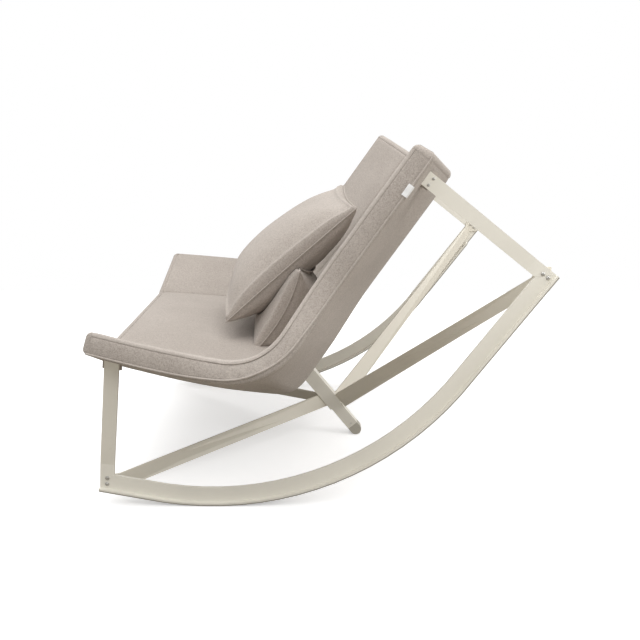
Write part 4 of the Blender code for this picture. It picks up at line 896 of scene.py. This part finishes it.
def full_low(pillow, p, q, hit, guess, shells):
    """Lower side of the large pillow near the camera's side, plump over the small pillow."""
    weight = smooth_step((0.45 - q) / 0.6) * smooth_step((0.97 - p) / 0.3) * smooth_step((p + 1.0) / 0.12)
    plump = LOW_FULL * smooth_step((0.1 - p) / 0.6) * roundness(p, q, 0.3)
    shift = (guess - pillow.up * plump - hit) * weight
    if shift.length > LOW_LIMIT:
        shift = shift * (LOW_LIMIT / shift.length)
    for shell in shells:
        near, normal, _, _ = shell.find_nearest(hit + shift)
        gap = (hit + shift - near).dot(normal)
        if gap < SHELL_CLEAR:
            start = (hit - near).dot(normal)
            share = (start - SHELL_CLEAR) / (start - gap) if start > SHELL_CLEAR else 0.0
            shift = shift * max(share, 0.0)
    return hit + shift


def seam_puckers(p, q):
    """Light creases that run out from the near seam, where the pillow is bent most."""
    near = bell(q + 0.80, 0.17) * bell(p + 0.22, 0.30)
    return PUCKER * near * noise.noise(Vector(((p + 0.25 * q) / 0.085, q / 0.55, 4.0)))


def fold_under(p, q):
    """Depth of the crease under the near seam, where the small pillow pushes up."""
    first, last = -0.36, 0.30
    if not first < p < last:
        return 0.0
    bow = math.sin(math.pi * (p - first) / (last - first))
    return UNDER_FOLD * bow * bell(q + 1.0 - 0.26 * bow ** 0.7, 0.045)


def bowed(pillow, p, q, face):
    """Small pillow's near seam, bowed back against the shell."""
    amount = BOW * (1.0 - p * p) * smooth_step((0.3 - q) / 1.1)
    if face == 1:
        amount *= 1.0 - roundness(p, q, PILLOW_FULL)
    return pillow.up * -amount


def give_way(points, up, above):
    """Points pressed down out of the pillow above them."""
    pressed = []
    for point in points:
        hit = above.ray_cast(point - up * PRESS_REACH, up, PRESS_REACH + PILLOW_GAP)[0]
        pressed.append(point if hit is None else hit - up * PILLOW_GAP)
    return pressed


def keep_volume(pillow, start, moved, cells):
    """Take the broad swelling or sinking out of the cloth's result; the creases stay."""
    size = PILLOW_CELLS + 1
    window = 2 * BLUR_HALF + 1
    for face in (0, 1):
        broad = np.zeros((size, size))
        for k, (side, i, j) in enumerate(cells):
            if side == face:
                broad[i, j] = (moved[k] - start[k]).dot(pillow.up)
        for _ in range(BLUR_TIMES):
            padded = np.pad(broad, BLUR_HALF, mode="edge")
            parts = [padded[a:a + size, b:b + size] for a in range(window) for b in range(window)]
            broad = sum(parts) / window ** 2
        for k, (side, i, j) in enumerate(cells):
            if side == face and 0 < i < PILLOW_CELLS and 0 < j < PILLOW_CELLS:
                moved[k] = moved[k] - pillow.up * float(broad[i, j])
    return moved


def eased(i):
    """Place from -1 to 1 of a grid line, closer together towards the seams."""
    even = 2.0 * i / PILLOW_CELLS - 1.0
    return math.sin(math.pi / 2 * even) * PILLOW_EASE + even * (1.0 - PILLOW_EASE)


def pillow_grid(node, pillow, above):
    """Skin of a pillow on its solid's own form: the mesh, each point's cell, and the seam's points."""
    tree = tree_over(bpy.data.objects[node])
    shells = [tree_over(bpy.data.objects[shell]) for shell in ("seat_back_pad", "left_wing_pad")]
    last = PILLOW_CELLS
    lines = range(last + 1)
    cells = []
    index = {}
    bm = bmesh.new()
    for face, depth in enumerate((pillow.top, -pillow.low)):
        for i, j in ((i, j) for i in lines for j in lines):
            p, q = eased(i), eased(j)
            on_seam = i in (0, last) or j in (0, last)
            if on_seam and face == 1:
                index[face, i, j] = index[0, i, j]
                continue
            guess = pillow.point(p, q, depth)
            hit = tree.find_nearest(guess)[0]
            if on_seam:
                hit = guess + (hit - guess) * WELT_HOLD
            elif face == 0 and above is None:
                hit = hit + full_top(pillow, p, q)
            elif face == 1 and above is None:
                hit = full_low(pillow, p, q, hit, guess, shells) + pillow.up * fold_under(p, q)
            if above:
                hit = hit + bowed(pillow, p, q, face)
            index[face, i, j] = bm.verts.new(hit)
            cells.append((face, i, j))
    for face in (0, 1):
        for i, j in ((i, j) for i in range(last) for j in range(last)):
            bm.faces.new([index[face, a, b] for a, b in ((i, j), (i + 1, j), (i + 1, j + 1), (i, j + 1))])
    order = [(0, j) for j in range(last)] + [(i, last) for i in range(last)]
    order += [(last, j) for j in range(last, 0, -1)] + [(i, 0) for i in range(last, 0, -1)]
    bm.verts.index_update()
    seam = [index[0, i, j].index for i, j in order]
    bmesh.ops.recalc_face_normals(bm, faces=bm.faces)
    return bm, cells, seam


def settle(obj, pillow, seam, cells):
    """Crease a pillow's cover as cloth, within the limit on how far a point may move."""
    start = [vert.co.copy() for vert in obj.data.vertices]
    centre = sum(start, Vector()) / len(start)
    moved = keep_volume(pillow, start, apply_cloth(obj, seam), cells)
    for vert, old, new, (face, _, _) in zip(obj.data.vertices, start, moved, cells):
        shift = new - old
        if shift.length > CLOTH_LIMIT:
            shift = shift * (CLOTH_LIMIT / shift.length)
        if face == 1:
            if (old - centre).dot(pillow.up) < 0.0 and shift.dot(pillow.up) < 0.0:
                shift = shift - pillow.up * shift.dot(pillow.up)
            shift = shift * CLOTH_LOW_SHARE
        vert.co = old + shift
    obj.data.update()


def build_pillow(name, node, pillow, above=None):
    """Knife-edge pillow on the solid's own form, creased as cloth, with a welt in its seam."""
    bm, cells, seam = pillow_grid(node, pillow, above)
    cover = object_from(name, bm)
    cover.data.materials.append(PILLOW_CLOTH)
    settle(cover, pillow, seam, cells)
    smooth = cover.modifiers.new("smooth", "SUBSURF")
    smooth.levels = smooth.render_levels = 1
    graph = bpy.context.evaluated_depsgraph_get()
    coarse, fine = cover.data, bpy.data.meshes.new_from_object(cover.evaluated_get(graph))
    route = [coarse.vertices[k].co.copy() for k in seam]
    if above:
        route = give_way(route, pillow.up, above)
        places = give_way([vert.co.copy() for vert in fine.vertices], pillow.up, above)
        for vert, place in zip(fine.vertices, places):
            vert.co = place
    cover.modifiers.clear()
    cover.vertex_groups.clear()
    cover.data = fine
    bpy.data.meshes.remove(coarse)
    fine.name = name
    fine.shade_smooth()
    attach(cover, "chair")
    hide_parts(node)
    bm = bmesh.new()
    add_tube(bm, route, PILLOW_PIPE_R, 8, True)
    finish_piece(name + "_welt", bm, PIPING_AND_HIGHLIGHT)
    return cover


# Frame
LOOKS = {
    "rocker": CREAM, "front_leg": CREAM, "back_link": CREAM, "stop_sleeve": CREAM, "stop_bar": CREAM,
    "brace": SHADED_CREAM, "leg_bracket": CLOTH_TONED, "link_bracket": CLOTH_TONED, "sleeve_saddle": PLATE,
    "tread": TREAD, "stop_foot": SHOE, "clamp_knob": KNOB, "shell_core": PLY,
    "bolt": ZINC, "screw": ZINC, "pin": ZINC,
}


def dress_frame():
    """Give each CAD node that shows the material that its name calls for."""
    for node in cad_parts:
        for word, material in LOOKS.items():
            if word in node:
                for slot in bpy.data.objects[node].material_slots:
                    slot.material = material


build_camera()
build_world()
for light in LIGHTS:
    build_light(*light)
build_floor()

build_middle()
for side, word in ((-1, "left"), (1, "right")):
    build_wing(side, word)
build_end_band("front_band_cover", "front_band", S_FRONT, 1.0)
build_end_band("top_band_cover", "top_band", S_TOP, -1.0)
for side, word in ((-1, "left"), (1, "right")):
    build_piping(side, word)
large = build_pillow("large_pillow_cover", "large_pillow",
                     Pillow(LARGE_AT, LARGE_TILT, LARGE_ROLL, LARGE_PILLOW))
build_pillow("small_pillow_cover", "small_pillow",
             Pillow(SMALL_AT, SMALL_TILT, SMALL_ROLL, SMALL_PILLOW), tree_over(large))
build_tab()
dress_frame()
